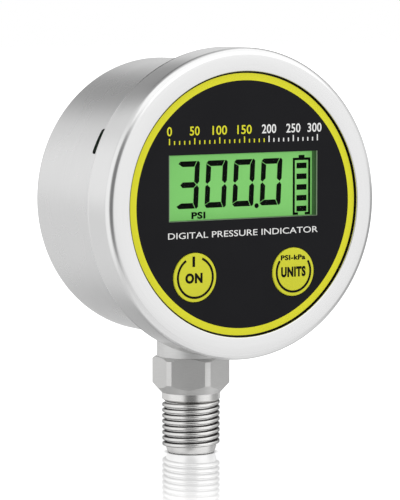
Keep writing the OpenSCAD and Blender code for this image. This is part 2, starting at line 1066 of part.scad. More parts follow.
// The helical grid: rows follow the thread, and a full turn climbs one pitch
thread_start = start_share * thread_pitch;
thread_turns = ceil((thread_len - thread_start) / thread_pitch) - 1;
thread_top = thread_start + (thread_turns + end_share) * thread_pitch;
last_row = knots * thread_turns;
grid_count = (last_row + 1) * thread_sides;
function grid_point(i, j) = let (
    z = thread_start + thread_pitch * (floor(j / knots) + knot_shares[j % knots] + i / thread_sides),
    radius = thread_radius(level_shares[j % knots], z),
    angle = 360 * i / thread_sides
) [radius * cos(angle), radius * sin(angle), z];
function circle_point(i, radius, z) = let (angle = 360 * i / thread_sides)
    [radius * cos(angle), radius * sin(angle), z];
function grid_index(i, j) =
    i >= thread_sides ? grid_index(0, j + knots) :
    j > last_row ? grid_count + j - last_row - 1 :
    j * thread_sides + i;
low_first = grid_count + knots;
top_first = low_first + thread_sides;
function low_index(i) = low_first + i % thread_sides;
function top_index(i) = top_first + i % thread_sides;

module thread() {
    top_r = thread_r - thread_h + taper_share * thread_top - lead_gap;
    sides = [0 : thread_sides - 1];
    points = concat(
        [for (j = [0 : last_row]) for (i = sides) grid_point(i, j)],
        [for (k = [1 : knots]) grid_point(0, last_row + k)],
        [for (i = sides) circle_point(i, lead_r, 0)],
        [for (i = sides) circle_point(i, top_r, thread_top)]
    );
    flanks = [for (j = [0 : last_row - 1]) for (i = sides) each [
        [grid_index(i, j), grid_index(i, j + 1), grid_index(i + 1, j + 1)],
        [grid_index(i, j), grid_index(i + 1, j + 1), grid_index(i + 1, j)]
    ]];
    low_band = [for (i = sides) each [
        [low_index(i), grid_index(i, 0), grid_index(i + 1, 0)],
        [low_index(i), grid_index(i + 1, 0), low_index(i + 1)]
    ]];
    top_band = [for (i = sides) each [
        [grid_index(i, last_row), top_index(i), top_index(i + 1)],
        [grid_index(i, last_row), top_index(i + 1), grid_index(i + 1, last_row)]
    ]];
    low_step = concat(
        [for (k = [0 : knots - 2]) [grid_index(0, knots), grid_index(0, k + 1), grid_index(0, k)]],
        [[grid_index(0, knots), grid_index(0, 0), low_index(0)]]
    );
    top_step = concat(
        [for (k = [0 : knots - 2])
            [grid_index(0, last_row), grid_index(0, last_row + k + 2), grid_index(0, last_row + k + 1)]],
        [[grid_index(0, last_row), top_index(0), grid_index(0, last_row + knots)]]
    );
    low_cap = [[for (i = sides) low_index(i)]];
    top_cap = [[for (i = sides) top_index(thread_sides - 1 - i)]];
    polyhedron(
        points = points,
        faces = concat(flanks, low_band, top_band, low_step, top_step, low_cap, top_cap)
    );
}

module collar() {
    collar_r = collar_d / 2;
    rotate_extrude()
        polygon([
            [0, collar_z],
            [collar_r - collar_chamfer, collar_z],
            [collar_r, collar_z + collar_chamfer],
            [collar_r, hex_z + over],
            [0, hex_z + over]
        ]);
}

// The hexagon, with its corners turned down and chamfered at both ends
module hexagon() {
    hex_r = hex_w / 2 / cos(30);
    turned_r = hex_turned_d / 2;
    intersection() {
        translate([0, 0, hex_z])
            rotate([0, 0, hex_turn])
                cylinder(r = hex_r, h = hex_len, $fn = 6);
        rotate_extrude()
            polygon([
                [0, hex_z],
                [hex_low_r, hex_z],
                [turned_r, hex_z + hex_chamfer_low],
                [turned_r, neck_z - hex_chamfer_top],
                [hex_top_r, neck_z],
                [0, neck_z]
            ]);
    }
}

module stem() {
    color([0.68, 0.68, 0.67])
        difference() {
            union() {
                thread();
                collar();
                hexagon();
                difference() {
                    translate([0, 0, neck_z - over])
                        cylinder(r = neck_d / 2, h = neck_len + seal_rise + 2 * over);
                    translate([0, 0, seal_z])
                        cylinder(r = seal_seat_r, h = seal_t + seal_rise + 2 * over);
                    drum_bar(case_r + seat_gap);
                }
                translate([0, 0, seal_z - over])
                    cylinder(r = spigot_r, h = spigot_z - seal_z + over);
            }
            translate([0, 0, -over])
                cylinder(r = port_d / 2, h = port_len + over);
            translate([0, 0, port_len - over])
                cylinder(r = passage_r, h = well_z - port_len + 2 * over);
            translate([0, 0, well_z])
                cylinder(r = well_r, h = well_len + over);
        }
}

// The drum's round body as a solid bar, for pieces shaped to fit it
module drum_bar(radius) {
    translate([0, face_y + case_back, dial_z])
        rotate([90, 0, 0])
            cylinder(r = radius, h = case_back);
}

module stem_seal() {
    color([0.12, 0.12, 0.12])
        difference() {
            translate([0, 0, seal_z])
                cylinder(r = seal_seat_r - bore_gap, h = seal_t + seal_rise);
            translate([0, 0, seal_z - over])
                cylinder(r = spigot_r + bore_gap, h = seal_t + seal_rise + 2 * over);
            drum_bar(case_r + seat_gap);
        }
}

module clamp_saddle() {
    color([0.8, 0.8, 0.78])
        intersection() {
            difference() {
                translate([0, 0, saddle_z - 2 * saddle_t])
                    cylinder(r = saddle_r, h = 2 * saddle_t);
                translate([0, 0, saddle_z - 2 * saddle_t - over])
                    cylinder(r = spigot_r + bore_gap, h = 2 * saddle_t + 2 * over);
            }
            drum_bar(case_in_r - seat_gap);
        }
}

module lock_nut() {
    color([0.7, 0.7, 0.68])
        translate([0, 0, saddle_z])
            difference() {
                cylinder(r = nut_w / 2 / cos(30), h = nut_t, $fn = 6);
                translate([0, 0, -over])
                    cylinder(r = spigot_r + nut_gap, h = nut_t + 2 * over);
            }
}

module sensor_o_ring() {
    color([0.12, 0.12, 0.12])
        translate([0, 0, well_z + ring_minor_r])
            rotate_extrude()
                translate([ring_major_r, 0])
                    circle(ring_minor_r);
}

module pressure_sensor() {
    color([0.78, 0.78, 0.76]) {
        translate([0, 0, sensor_z])
            cylinder(r = well_r - sensor_gap, h = sensor_flange_t);
        translate([0, 0, sensor_z])
            cylinder(r = sensor_can_r, h = sensor_top_z - sensor_z);
        for (k = [0 : pin_count - 1])
            rotate([0, 0, 45 + k * 360 / pin_count])
                translate([pin_place, 0, sensor_top_z - pin_len])
                    cylinder(r = pin_r, h = 2 * pin_len, $fn = 24);
    }
}

module sensor_retainer() {
    color([0.7, 0.65, 0.4])
        translate([0, 0, sensor_step_z])
            difference() {
                cylinder(r = well_r - sensor_gap / 2, h = spigot_z - sensor_step_z);
                translate([0, 0, -over])
                    cylinder(r = sensor_can_r + sensor_gap, h = spigot_z - sensor_step_z + 2 * over);
            }
}

module sensor_board() {
    color([0.1, 0.35, 0.2])
        translate([0, 0, sensor_board_z])
            cylinder(r = sensor_board_r, h = sensor_board_t);
}

// A quarter of a ring as thick as the ribbon, for its two bends
module ribbon_quarter(start) {
    sector(ribbon_bend + ribbon_t / 2, ribbon_bend - ribbon_t / 2, start, start + 90);
}

// The ribbon's side view: flat on the sensor's board, up, then to the socket
module ribbon_path() {
    flat_end = face_y + socket_back - socket_sink;
    low_z = ribbon_z + ribbon_t / 2;
    middle_z = low_z + ribbon_bend;
    high_z = middle_z + ribbon_bend;
    translate([ribbon_bend_y, ribbon_z])
        square([ribbon_tail - ribbon_bend_y, ribbon_t]);
    translate([ribbon_bend_y, middle_z])
        ribbon_quarter(180);
    translate([ribbon_bend_y - 2 * ribbon_bend, middle_z])
        ribbon_quarter(0);
    translate([flat_end, high_z - ribbon_t / 2])
        square([ribbon_bend_y - 2 * ribbon_bend - flat_end, ribbon_t]);
}

module sensor_ribbon() {
    color([0.75, 0.5, 0.2])
        translate([-ribbon_w / 2, 0, 0])
            rotate([90, 0, 90])
                linear_extrude(ribbon_w)
                    ribbon_path();
}

module ribbon_socket() {
    middle = ribbon_z + 2 * ribbon_bend + ribbon_t / 2 - dial_z;
    color([0.9, 0.88, 0.8])
        difference() {
            slab(board_back, socket_t)
                centred(socket_w, socket_h, 0, middle);
            slab(socket_back - socket_sink - contact_gap, socket_sink + contact_gap + over)
                centred(ribbon_w + 2 * contact_gap, ribbon_t + 2 * contact_gap, 0, middle);
        }
}

// A soft plug that snaps into the back, with a fine hole that lets the case breathe
module vent_plug() {
    floor_depth = case_back - sunk_depth;
    color([0.15, 0.15, 0.15])
        difference() {
            union() {
                slab(floor_depth, plug_flange_t)
                    translate([0, vent_z])
                        circle(vent_r + plug_flange_w);
                slab(floor_depth - case_wall - plug_flange_t, case_wall + 2 * plug_flange_t)
                    translate([0, vent_z])
                        circle(vent_r - plug_gap);
                slab(floor_depth - case_wall - 2 * plug_flange_t, plug_flange_t)
                    translate([0, vent_z])
                        circle(vent_r + plug_snap);
            }
            slab(floor_depth - case_wall - 2 * plug_flange_t - over,
                case_wall + 3 * plug_flange_t + 2 * over)
                translate([0, vent_z])
                    circle(plug_hole_r);
        }
}

case_shell();
bezel_ring();
bezel_gasket();
rim_seal();
front_panel();
face_sheet();
face_ring();
scale_ticks();
display_window();
on_button();
on_button_mark();
on_plunger();
on_switch();
units_button();
units_button_mark();
units_plunger();
units_switch();
lcd_frame();
lcd_glass();
lcd_segments();
lcd_contact_strips();
backlight_guide();
backlight_reflector();
backlight_leds();
main_board();
processor_chip();
board_parts();
board_screws();
battery_holder();
battery_1();
battery_2();
battery_3();
left_contacts();
right_contacts();
stem();
stem_seal();
clamp_saddle();
lock_nut();
sensor_o_ring();
pressure_sensor();
sensor_retainer();
sensor_board();
sensor_ribbon();
ribbon_socket();
vent_plug();
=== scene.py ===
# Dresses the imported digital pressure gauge: finer steel parts, printed face,
# lettering, materials, soft studio light and the photograph's camera.
import json
import math

import bmesh
import bpy
from mathutils import Matrix, Vector


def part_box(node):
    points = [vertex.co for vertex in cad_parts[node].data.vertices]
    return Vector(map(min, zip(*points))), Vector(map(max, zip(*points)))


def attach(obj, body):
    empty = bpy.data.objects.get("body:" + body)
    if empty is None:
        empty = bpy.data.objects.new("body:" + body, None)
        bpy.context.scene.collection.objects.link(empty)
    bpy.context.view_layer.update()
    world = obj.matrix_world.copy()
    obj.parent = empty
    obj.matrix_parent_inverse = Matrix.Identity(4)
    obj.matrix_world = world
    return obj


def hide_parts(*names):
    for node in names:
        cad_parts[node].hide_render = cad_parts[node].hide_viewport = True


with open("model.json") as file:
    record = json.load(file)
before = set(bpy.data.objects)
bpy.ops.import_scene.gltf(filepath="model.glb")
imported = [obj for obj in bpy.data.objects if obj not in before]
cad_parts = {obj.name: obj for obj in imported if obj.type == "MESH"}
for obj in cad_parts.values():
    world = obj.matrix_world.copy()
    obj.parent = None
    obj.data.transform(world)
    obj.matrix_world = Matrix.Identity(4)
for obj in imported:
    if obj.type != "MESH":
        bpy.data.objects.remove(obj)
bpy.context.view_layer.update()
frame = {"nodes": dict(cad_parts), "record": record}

# Sizes are in millimetres and are turned into metres by this factor
MM = 0.001

# The dial's centre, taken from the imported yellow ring
ring_low, ring_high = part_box("face_ring")
DIAL_X = (ring_low.x + ring_high.x) / 2 / MM
DIAL_Z = (ring_low.z + ring_high.z) / 2 / MM
FACE_Y = ring_high.y / MM
RING_R = (ring_high.x - ring_low.x) / 2 / MM

# Bezel, as depths behind the printed face and radii from the dial's centre
bezel_low, bezel_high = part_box("bezel_ring")
BEZEL_R = (bezel_high.x - bezel_low.x) / 2 / MM
LIP_FRONT = bezel_low.y / MM - FACE_Y
LIP_RISE = 0.4
LIP_ROUND = 0.25
BEZEL_FRONT = LIP_FRONT + LIP_RISE
SKIRT_END = bezel_high.y / MM - FACE_Y
BEZEL_OPEN_R = 32.3
BEZEL_WALL = 0.8
BEZEL_ROUND = 1.9
SKIRT_ROUND = 0.25
FOLD_START = 0.85
FOLD_BOTTOM = 0.7
FOLD_DEPTH = 0.14
SKIRT_IN_R = BEZEL_R - BEZEL_WALL

# Case, with the edge of its sunk back as steps outwards and in depth
case_low, case_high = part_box("case_shell")
CASE_R = (case_high.x - case_low.x) / 2 / MM
CASE_FRONT = case_low.y / MM - FACE_Y
CASE_BACK = case_high.y / MM - FACE_Y
CASE_WALL = 1.0
CASE_EDGE_R = 2.5
RIM_CHAMFER = 0.15
SUNK_R = 26.0
SUNK_DEPTH = 1.0
SUNK_SLOPE = 0.2
SUNK_EDGE = ((0.5, 0.0), (0.1, -0.15), (0.0, -0.5))
BACK_FLOOR = CASE_BACK - SUNK_DEPTH

# Vent plug, with its heights from the floor of the sunk back
VENT_R = 3.0
VENT_Z = 15.0
PLUG_FLANGE_R = VENT_R + 1.5
PLUG_BARB_R = VENT_R + 0.4
PLUG_NECK_R = VENT_R - 0.05
PLUG_BARB_LOW = 2.2
PLUG_BARB_HIGH = 1.6
PLUG_HEAD = 0.6
PLUG_ROUND = 0.35
PLUG_DISH = 0.35
PLUG_DISH_R = 1.1
PLUG_DISH_RIM_R = 1.4
PLUG_HOLE_R = 0.4

# Bayonet tabs and openings
TAB_COUNT = 4
TAB_ANGLE = 153.5
TAB_SPAN = 9.0
TAB_T = 0.7
TAB_REACH_R = 33.45
TURN_ANGLE = 13.0
SLOT_GAP = 0.15
SLOT_ROOM = 0.5
SLOT_HALF_W = 3.35
SLOT_BACK = 17.65
SLOT_CORNER = 0.8

# Printed face, window and buttons
sheet_low, sheet_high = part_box("face_sheet")
SHEET_R = (sheet_high.x - sheet_low.x) / 2 / MM
SHEET_T = (sheet_high.y - sheet_low.y) / MM
RING_W = 1.75
PRINT_T = 0.04
WINDOW_W = 42.3
WINDOW_H = 16.0
WINDOW_Z = 4.5
WINDOW_EDGE = 0.28
WINDOW_GAP = 0.01
WINDOW_WALL = 0.05
BUTTON_X = 14.0
BUTTON_Z = -17.05
BUTTON_R = 5.95
BUTTON_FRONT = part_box("on_button")[0].y / MM - FACE_Y
BUTTON_ROUND = 0.25
BUTTON_GAP = 0.15
FLANGE_W = 0.9
FLANGE_FRONT = 1.5
FLANGE_T = 0.8
BUTTON_POST_R = 2.0
BUTTON_POST_END = 3.9

# Printed words and marks, as boxes (left, right, low, high) and line weights, and as angles
FACE_WORDS_BOX = (-21.4, 21.2, -7.6, -6.1)
UNIT_BOX = (-13.35, -9.45, -3.2, -1.5)
UNIT_WEIGHT = 0.4
ON_BOX = (-16.8, -12.0, -18.45, -15.95)
ON_WEIGHT = 0.54
ON_BAR = (-14.8, -14.1, -14.45, -11.95)
ON_ARC = (122, 427)
UNITS_BOX = (10.4, 17.5, -18.3, -15.75)
UNITS_WEIGHT = 0.52
UNIT_NAMES_BOX = (10.3, 17.4, -14.1, -12.85)
UNIT_NAMES_WEIGHT = 0.35
UNITS_ARC = (145, 392)
MARK_R = 5.15
MARK_IN_R = 4.6

# Display
LCD_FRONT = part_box("lcd_segments")[0].y / MM - FACE_Y
SEGMENT_T = 0.03

# Scale over the window
SCALE_LEFT = -21.0
SCALE_STEP = 1.4
SCALE_SPLIT = 20
SCALE_COUNT = 31
SCALE_LOW = 15.0
TICK_W = 0.3
TICK_SHORT = 0.9
TICK_LONG = 1.5
TICK_EVERY = 5
NUMBER_STEP = 50
NUMBER_COUNT = 7
NUMBER_LOW = 17.1
NUMBER_HIGH = 19.3
NUMBER_REACH = 22.2
NUMBER_HALF_W = 0.68
NUMBER_WEIGHT = 0.12

# Thread, as heights above the stem's lower end
THREAD_PITCH = 1.411
THREAD_TURNS = 8.3
THREAD_LEN = 13.4
THREAD_START = 1.5
THREAD_CREST_R = 7.18
THREAD_TAPER = 0.07
THREAD_ROOT_R = 6.35
RIDGE_H = 0.9
CREST_W = 0.62
CREST_ROUND = 0.28
ROOT_TAPER = 0.1
RUNOUT_RISE = 0.15
RUNOUT_START = 0.9
RUNOUT_END = 0.5
END_FADE = 1.6
END_SHARE = 0.05
LEAD_LOW_R = 5.9
LEAD_LEN = 1.5
LEAD_CHAMFER = 0.25
LEAD_CHAMFER_H = 0.12
PORT_R = 2.25
PORT_CHAMFER = 0.3

# Collar, hexagon and neck, as heights above the stem's lower end
COLLAR_R = 7.38
COLLAR_CHAMFER = 0.25
COLLAR_CHAMFER_H = 0.2
COLLAR_STEP = 2.0
HEX_Z = 15.2
HEX_W = 17.5
HEX_TURN = -35.0
HEX_LOW_R = 7.45
HEX_LOW_LEN = 2.4
HEX_TURNED_R = 9.7
HEX_TOP_R = 8.6
HEX_TOP_LEN = 0.75
NECK_Z = 24.4
NECK_R = 8.55
NECK_SINK = 0.5
NECK_TOP = 29.1
NECK_RISE = 1.6
SEAL_Z = 28.1
SEAL_SEAT_R = 7.5
SEAT_GAP = 0.1
SPIGOT_HOLE_R = 6.5

# How far the cutting tools pass what they cut
WALL_REACH = 3.0
END_REACH = 1.0
HOLE_BELOW = 2.0
HOLE_ABOVE = 6.0
VENT_REACH = 4.0
SADDLE_REACH = 5.0

# Meshes
AXIS_R = 0.01
MERGE = 0.0005
SHARP_DEG = 35.0
HEX_SHARP_DEG = 12.0
THREAD_SHARP_DEG = 50.0
ROUND_STEPS = 192
FINE_STEPS = 256
BAR_STEPS = 128
HOLE_STEPS = 64
SADDLE_STEPS = 512
ARC_STEPS = 96


# Node helpers

FLOAT = "NodeSocketFloat"
INTEGER = "NodeSocketInt"
VECTOR = "NodeSocketVector"
MATERIAL = "NodeSocketMaterial"
SURFACE_OUTPUTS = (("Height", FLOAT), ("Cloud", FLOAT))
SHAPE_OUTPUTS = (("Geometry", "NodeSocketGeometry"),)


def feed(tree, socket, value):
    """Links an input to a socket, or sets it to a plain value."""
    if isinstance(value, bpy.types.NodeSocket):
        tree.links.new(value, socket)
    else:
        socket.default_value = value


def add_node(tree, kind, inputs=None, **settings):
    """A node with its settings; its inputs, by name or place, get sockets or values."""
    node = tree.nodes.new(kind)
    for label, value in settings.items():
        setattr(node, label, value)
    for label, value in (inputs or {}).items():
        feed(tree, node.inputs[label], value)
    return node


def new_tree(name, kind, inputs, outputs):
    """A tree with inputs (name, kind, value) and outputs (name, kind), and its two ends."""
    tree = bpy.data.node_groups.new(name, kind)
    for label, socket_kind in outputs:
        tree.interface.new_socket(label, in_out="OUTPUT", socket_type=socket_kind)
    for label, socket_kind, value in inputs:
        socket = tree.interface.new_socket(label, in_out="INPUT", socket_type=socket_kind)
        if value is not None:
            socket.default_value = value
    start = add_node(tree, "NodeGroupInput")
    end = add_node(tree, "NodeGroupOutput")
    return tree, start.outputs, end.inputs


def math_node(tree, operation, first, second=0.5):
    """The result of a sum on two sockets or values."""
    inputs = {0: first, 1: second}
    return add_node(tree, "ShaderNodeMath", inputs, operation=operation).outputs[0]


def vector_node(tree, operation, first, second=(0, 0, 0), scale=1.0):
    """The outputs, Vector and Value, of a sum on vectors."""
    inputs = {0: first, 1: second, 3: scale}
    return add_node(tree, "ShaderNodeVectorMath", inputs, operation=operation).outputs


def split_vector(tree, vector):
    return add_node(tree, "ShaderNodeSeparateXYZ", {0: vector}).outputs


def merged_vector(tree, x, y, z):
    return add_node(tree, "ShaderNodeCombineXYZ", {"X": x, "Y": y, "Z": z}).outputs[0]


def spread(tree, value, low, high, start=0.3, stop=0.7, way="LINEAR"):
    """Goes from low to high while the value goes from start to stop."""
    inputs = {"Value": value, "From Min": start, "From Max": stop, "To Min": low, "To Max": high}
    return add_node(tree, "ShaderNodeMapRange", inputs, interpolation_type=way).outputs["Result"]


def smooth_ramp(tree, value, start, stop, low=0.0, high=1.0):
    """Goes smoothly from low to high while the value goes from start to stop."""
    return spread(tree, value, low, high, start, stop, "SMOOTHSTEP")


def blend_colour(tree, factor, low, high):
    """A colour between two."""
    inputs = {"A": (*low, 1.0), "B": (*high, 1.0), "Factor": factor}
    return add_node(tree, "ShaderNodeMix", inputs, data_type="RGBA").outputs["Result"]


def blend_value(tree, factor, low, high):
    """A value between two."""
    inputs = {"A": low, "B": high, "Factor": factor}
    return add_node(tree, "ShaderNodeMix", inputs).outputs["Result"]


def noise(tree, position, scale, detail):
    inputs = {"Vector": position, "Scale": scale, "Detail": detail}
    return add_node(tree, "ShaderNodeTexNoise", inputs).outputs["Fac"]


# Effects that several materials share

def grain_group():
    """Fine lines that run round the Y axis, with their height and shade."""
    inputs = [("Position", VECTOR, None), ("Density", FLOAT, 9000.0), ("Length", FLOAT, 3.0)]
    group, given, end = new_tree("turned_grain", "ShaderNodeTree", inputs, SURFACE_OUTPUTS)
    split = split_vector(group, given["Position"])
    x_squared = math_node(group, "MULTIPLY", split["X"], split["X"])
    z_squared = math_node(group, "MULTIPLY", split["Z"], split["Z"])
    radius = math_node(group, "SQRT", math_node(group, "ADD", x_squared, z_squared))
    turn = math_node(group, "ARCTAN2", split["Z"], split["X"])
    across = math_node(group, "MULTIPLY", radius, given["Density"])
    along = math_node(group, "MULTIPLY", split["Y"], given["Density"])
    around = math_node(group, "MULTIPLY", turn, given["Length"])
    lines = noise(group, merged_vector(group, across, along, around), 1.0, 3.0)
    feed(group, end["Height"], lines)
    feed(group, end["Cloud"], noise(group, given["Position"], 60.0, 2.0))
    return group


def mottle_group():
    """Fine pits and slow clouds for plastics, rubber and print."""
    inputs = [
        ("Position", VECTOR, None), ("Pit Scale", FLOAT, 4000.0), ("Cloud Scale", FLOAT, 80.0)]
    group, given, end = new_tree("fine_mottle", "ShaderNodeTree", inputs, SURFACE_OUTPUTS)
    feed(group, end["Height"], noise(group, given["Position"], given["Pit Scale"], 2.0))
    feed(group, end["Cloud"], noise(group, given["Position"], given["Cloud Scale"], 3.0))
    return group


GRAIN = grain_group()
MOTTLE = mottle_group()


# Materials

EDGE_TINT = (0.93, 0.93, 0.93, 1.0)
# Painted shade for the thread: a dark tint of its reflections and a darker colour in its valleys
VALLEY_SHADE_TINT = (0.3, 0.3, 0.3, 1.0)
VALLEY_SHADE_LEVEL = 0.16
LIT_GLOSS = 0.1
PANE_GLOSS = 0.12
PANE_ALPHA = 0.03
VALLEY_END = 0.05
CREST_START = 0.02
BUMP_DEPTH = 0.02
DISPLAY_LIGHT = 0.68
# Painted shadow of the window's upper edge on the display
DISPLAY_DIM = 0.12
DISPLAY_SHADE_OVER = 0.25
DISPLAY_SHADE_UNDER = 0.65
# Strength of the painted green glow on the window's wall
WALL_LIGHT = 0.7


def start_material(name):
    """A new material, its tree, its shader's inputs and the piece's own coordinates."""
    material = bpy.data.materials.new(name)
    material.use_nodes = True
    tree = material.node_tree
    position = add_node(tree, "ShaderNodeTexCoord").outputs["Object"]
    return material, tree, tree.nodes["Principled BSDF"].inputs, position


def add_bump(tree, shader, height, strength):
    inputs = {"Strength": strength, "Distance": BUMP_DEPTH * MM, "Height": height}
    feed(tree, shader["Normal"], add_node(tree, "ShaderNodeBump", inputs).outputs["Normal"])


def add_mottle(tree, position, pits=4000.0, clouds=80.0):
    inputs = {"Position": position, "Pit Scale": pits, "Cloud Scale": clouds}
    return add_node(tree, "ShaderNodeGroup", inputs, node_tree=MOTTLE).outputs


def steel(name, dark, light, rough, density, strength, around_stem=False):
    """Steel with fine lines round the dial's axis, or round the stem's."""
    material, tree, shader, position = start_material(name)
    centre = {"Vector": position}
    if around_stem:
        centre["Rotation"] = (math.pi / 2, 0, 0)
    else:
        centre["Location"] = (-DIAL_X * MM, 0, -DIAL_Z * MM)
    centred = add_node(tree, "ShaderNodeMapping", centre).outputs["Vector"]
    inputs = {"Density": density, "Position": centred}
    grain = add_node(tree, "ShaderNodeGroup", inputs, node_tree=GRAIN).outputs
    feed(tree, shader["Metallic"], 1.0)
    feed(tree, shader["Specular Tint"], EDGE_TINT)
    feed(tree, shader["Base Color"], blend_colour(tree, grain["Height"], dark, light))
    feed(tree, shader["Roughness"], spread(tree, grain["Cloud"], *rough))
    add_bump(tree, shader, grain["Height"], strength)
    return material


def thread_steel():
    """Turned steel with painted shade that makes it darker in the thread's valleys."""
    dark, light = (0.72, 0.715, 0.705), (0.86, 0.855, 0.845)
    material = steel("thread_steel", dark, light, (0.15, 0.22), 6000, 0.15, True)
    tree = material.node_tree
    shader = tree.nodes["Principled BSDF"].inputs
    feed(tree, shader["Specular Tint"], VALLEY_SHADE_TINT)
    position = add_node(tree, "ShaderNodeTexCoord").outputs["Object"]
    flat = vector_node(tree, "MULTIPLY", position, (1, 1, 0))["Vector"]
    radius = vector_node(tree, "LENGTH", flat)["Value"]
    valley = (THREAD_ROOT_R + VALLEY_END) * MM
    crest = (THREAD_CREST_R - CREST_START) * MM
    # Painted shade: the colour darkens from the crests down into the valleys
    raised = smooth_ramp(tree, radius, valley, crest, VALLEY_SHADE_LEVEL)
    colour = shader["Base Color"].links[0].from_socket
    feed(tree, shader["Base Color"], vector_node(tree, "SCALE", colour, scale=raised)["Vector"])
    return material


def mottled(name, dark, light, rough, pits, strength, metallic=0.0, gloss=0.5):
    """Plastic, rubber, print or plated metal with fine pits and slow clouds."""
    material, tree, shader, position = start_material(name)
    mottle = add_mottle(tree, position, pits)
    feed(tree, shader["Specular IOR Level"], gloss)
    feed(tree, shader["Metallic"], metallic)
    feed(tree, shader["Base Color"], blend_colour(tree, mottle["Cloud"], dark, light))
    feed(tree, shader["Roughness"], spread(tree, mottle["Cloud"], *rough))
    add_bump(tree, shader, mottle["Height"], strength)
    return material


def display_green():
    """The backlit display: green light, with a painted shadow that dims it under the window's upper
    edge.
    """
    material, tree, shader, position = start_material("display_green")
    mottle = add_mottle(tree, position, 9000.0, 45.0)
    cloud = mottle["Cloud"]
    light = blend_colour(tree, cloud, (0.185, 0.540, 0.135), (0.235, 0.610, 0.175))
    shade_colour = blend_colour(tree, cloud, (0.085, 0.250, 0.060), (0.110, 0.290, 0.080))
    # Painted shadow: the green light fades towards the window's upper edge
    top = DIAL_Z + WINDOW_Z + WINDOW_H / 2
    shade_top, shade_low = top + DISPLAY_SHADE_OVER, top - DISPLAY_SHADE_UNDER
    height = split_vector(tree, position)["Z"]
    lit = smooth_ramp(tree, height, shade_top * MM, shade_low * MM, DISPLAY_DIM)
    feed(tree, shader["Base Color"], shade_colour)
    feed(tree, shader["Emission Color"], light)
    feed(tree, shader["Emission Strength"], math_node(tree, "MULTIPLY", lit, DISPLAY_LIGHT))
    feed(tree, shader["Specular IOR Level"], LIT_GLOSS)
    feed(tree, shader["Roughness"], spread(tree, mottle["Height"], 0.25, 0.4))
    return material


def lit_wall():
    """Dark plastic with a painted green glow, standing for the display's light on it, stronger further
    in.
    """
    material, tree, shader, position = start_material("lit_wall")
    mottle = add_mottle(tree, position)
    depth = split_vector(tree, position)["Y"]
    front, back = (FACE_Y + SHEET_T) * MM, (FACE_Y + LCD_FRONT) * MM
    inward = spread(tree, depth, 0.0, 1.0, front, back)
    # Painted glow: the wall is made to shine green, more so deeper in
    glow = blend_colour(tree, inward, (0.012, 0.040, 0.010), (0.045, 0.135, 0.035))
    shade_colour = blend_colour(tree, mottle["Cloud"], (0.03, 0.05, 0.028), (0.045, 0.07, 0.04))
    feed(tree, shader["Emission Color"], glow)
    feed(tree, shader["Emission Strength"], WALL_LIGHT)
    feed(tree, shader["Base Color"], shade_colour)
    feed(tree, shader["Roughness"], spread(tree, mottle["Height"], 0.4, 0.55))
    feed(tree, shader["Specular IOR Level"], LIT_GLOSS)
    return material


def clear_pane():
    """The clear window: almost invisible, with a gloss that shows at low angles."""
    material, tree, shader, position = start_material("window_clear")
    mottle = add_mottle(tree, position, 700.0)
    feed(tree, shader["Base Color"], (0.01, 0.015, 0.01, 1.0))
    feed(tree, shader["Alpha"], PANE_ALPHA)
    feed(tree, shader["Specular IOR Level"], PANE_GLOSS)
    feed(tree, shader["Roughness"], spread(tree, mottle["Cloud"], 0.03, 0.07))
    return material


# Name, darker and lighter colour, roughness, lines to the metre, bump, round the stem
STEELS = (
    ("bezel_steel", (0.71, 0.71, 0.71), (0.79, 0.79, 0.79), (0.17, 0.22), 9000, 0.10),
    ("case_steel", (0.68, 0.68, 0.68), (0.78, 0.78, 0.78), (0.24, 0.32), 7000, 0.12),
    ("stem_steel", (0.68, 0.675, 0.665), (0.80, 0.795, 0.785), (0.17, 0.25), 6000, 0.2, True),
    ("hex_steel", (0.62, 0.618, 0.61), (0.72, 0.718, 0.71), (0.38, 0.48), 6000, 0.2, True),
    ("neck_steel", (0.64, 0.64, 0.635), (0.78, 0.78, 0.775), (0.5, 0.62), 6000, 0.2, True),
)

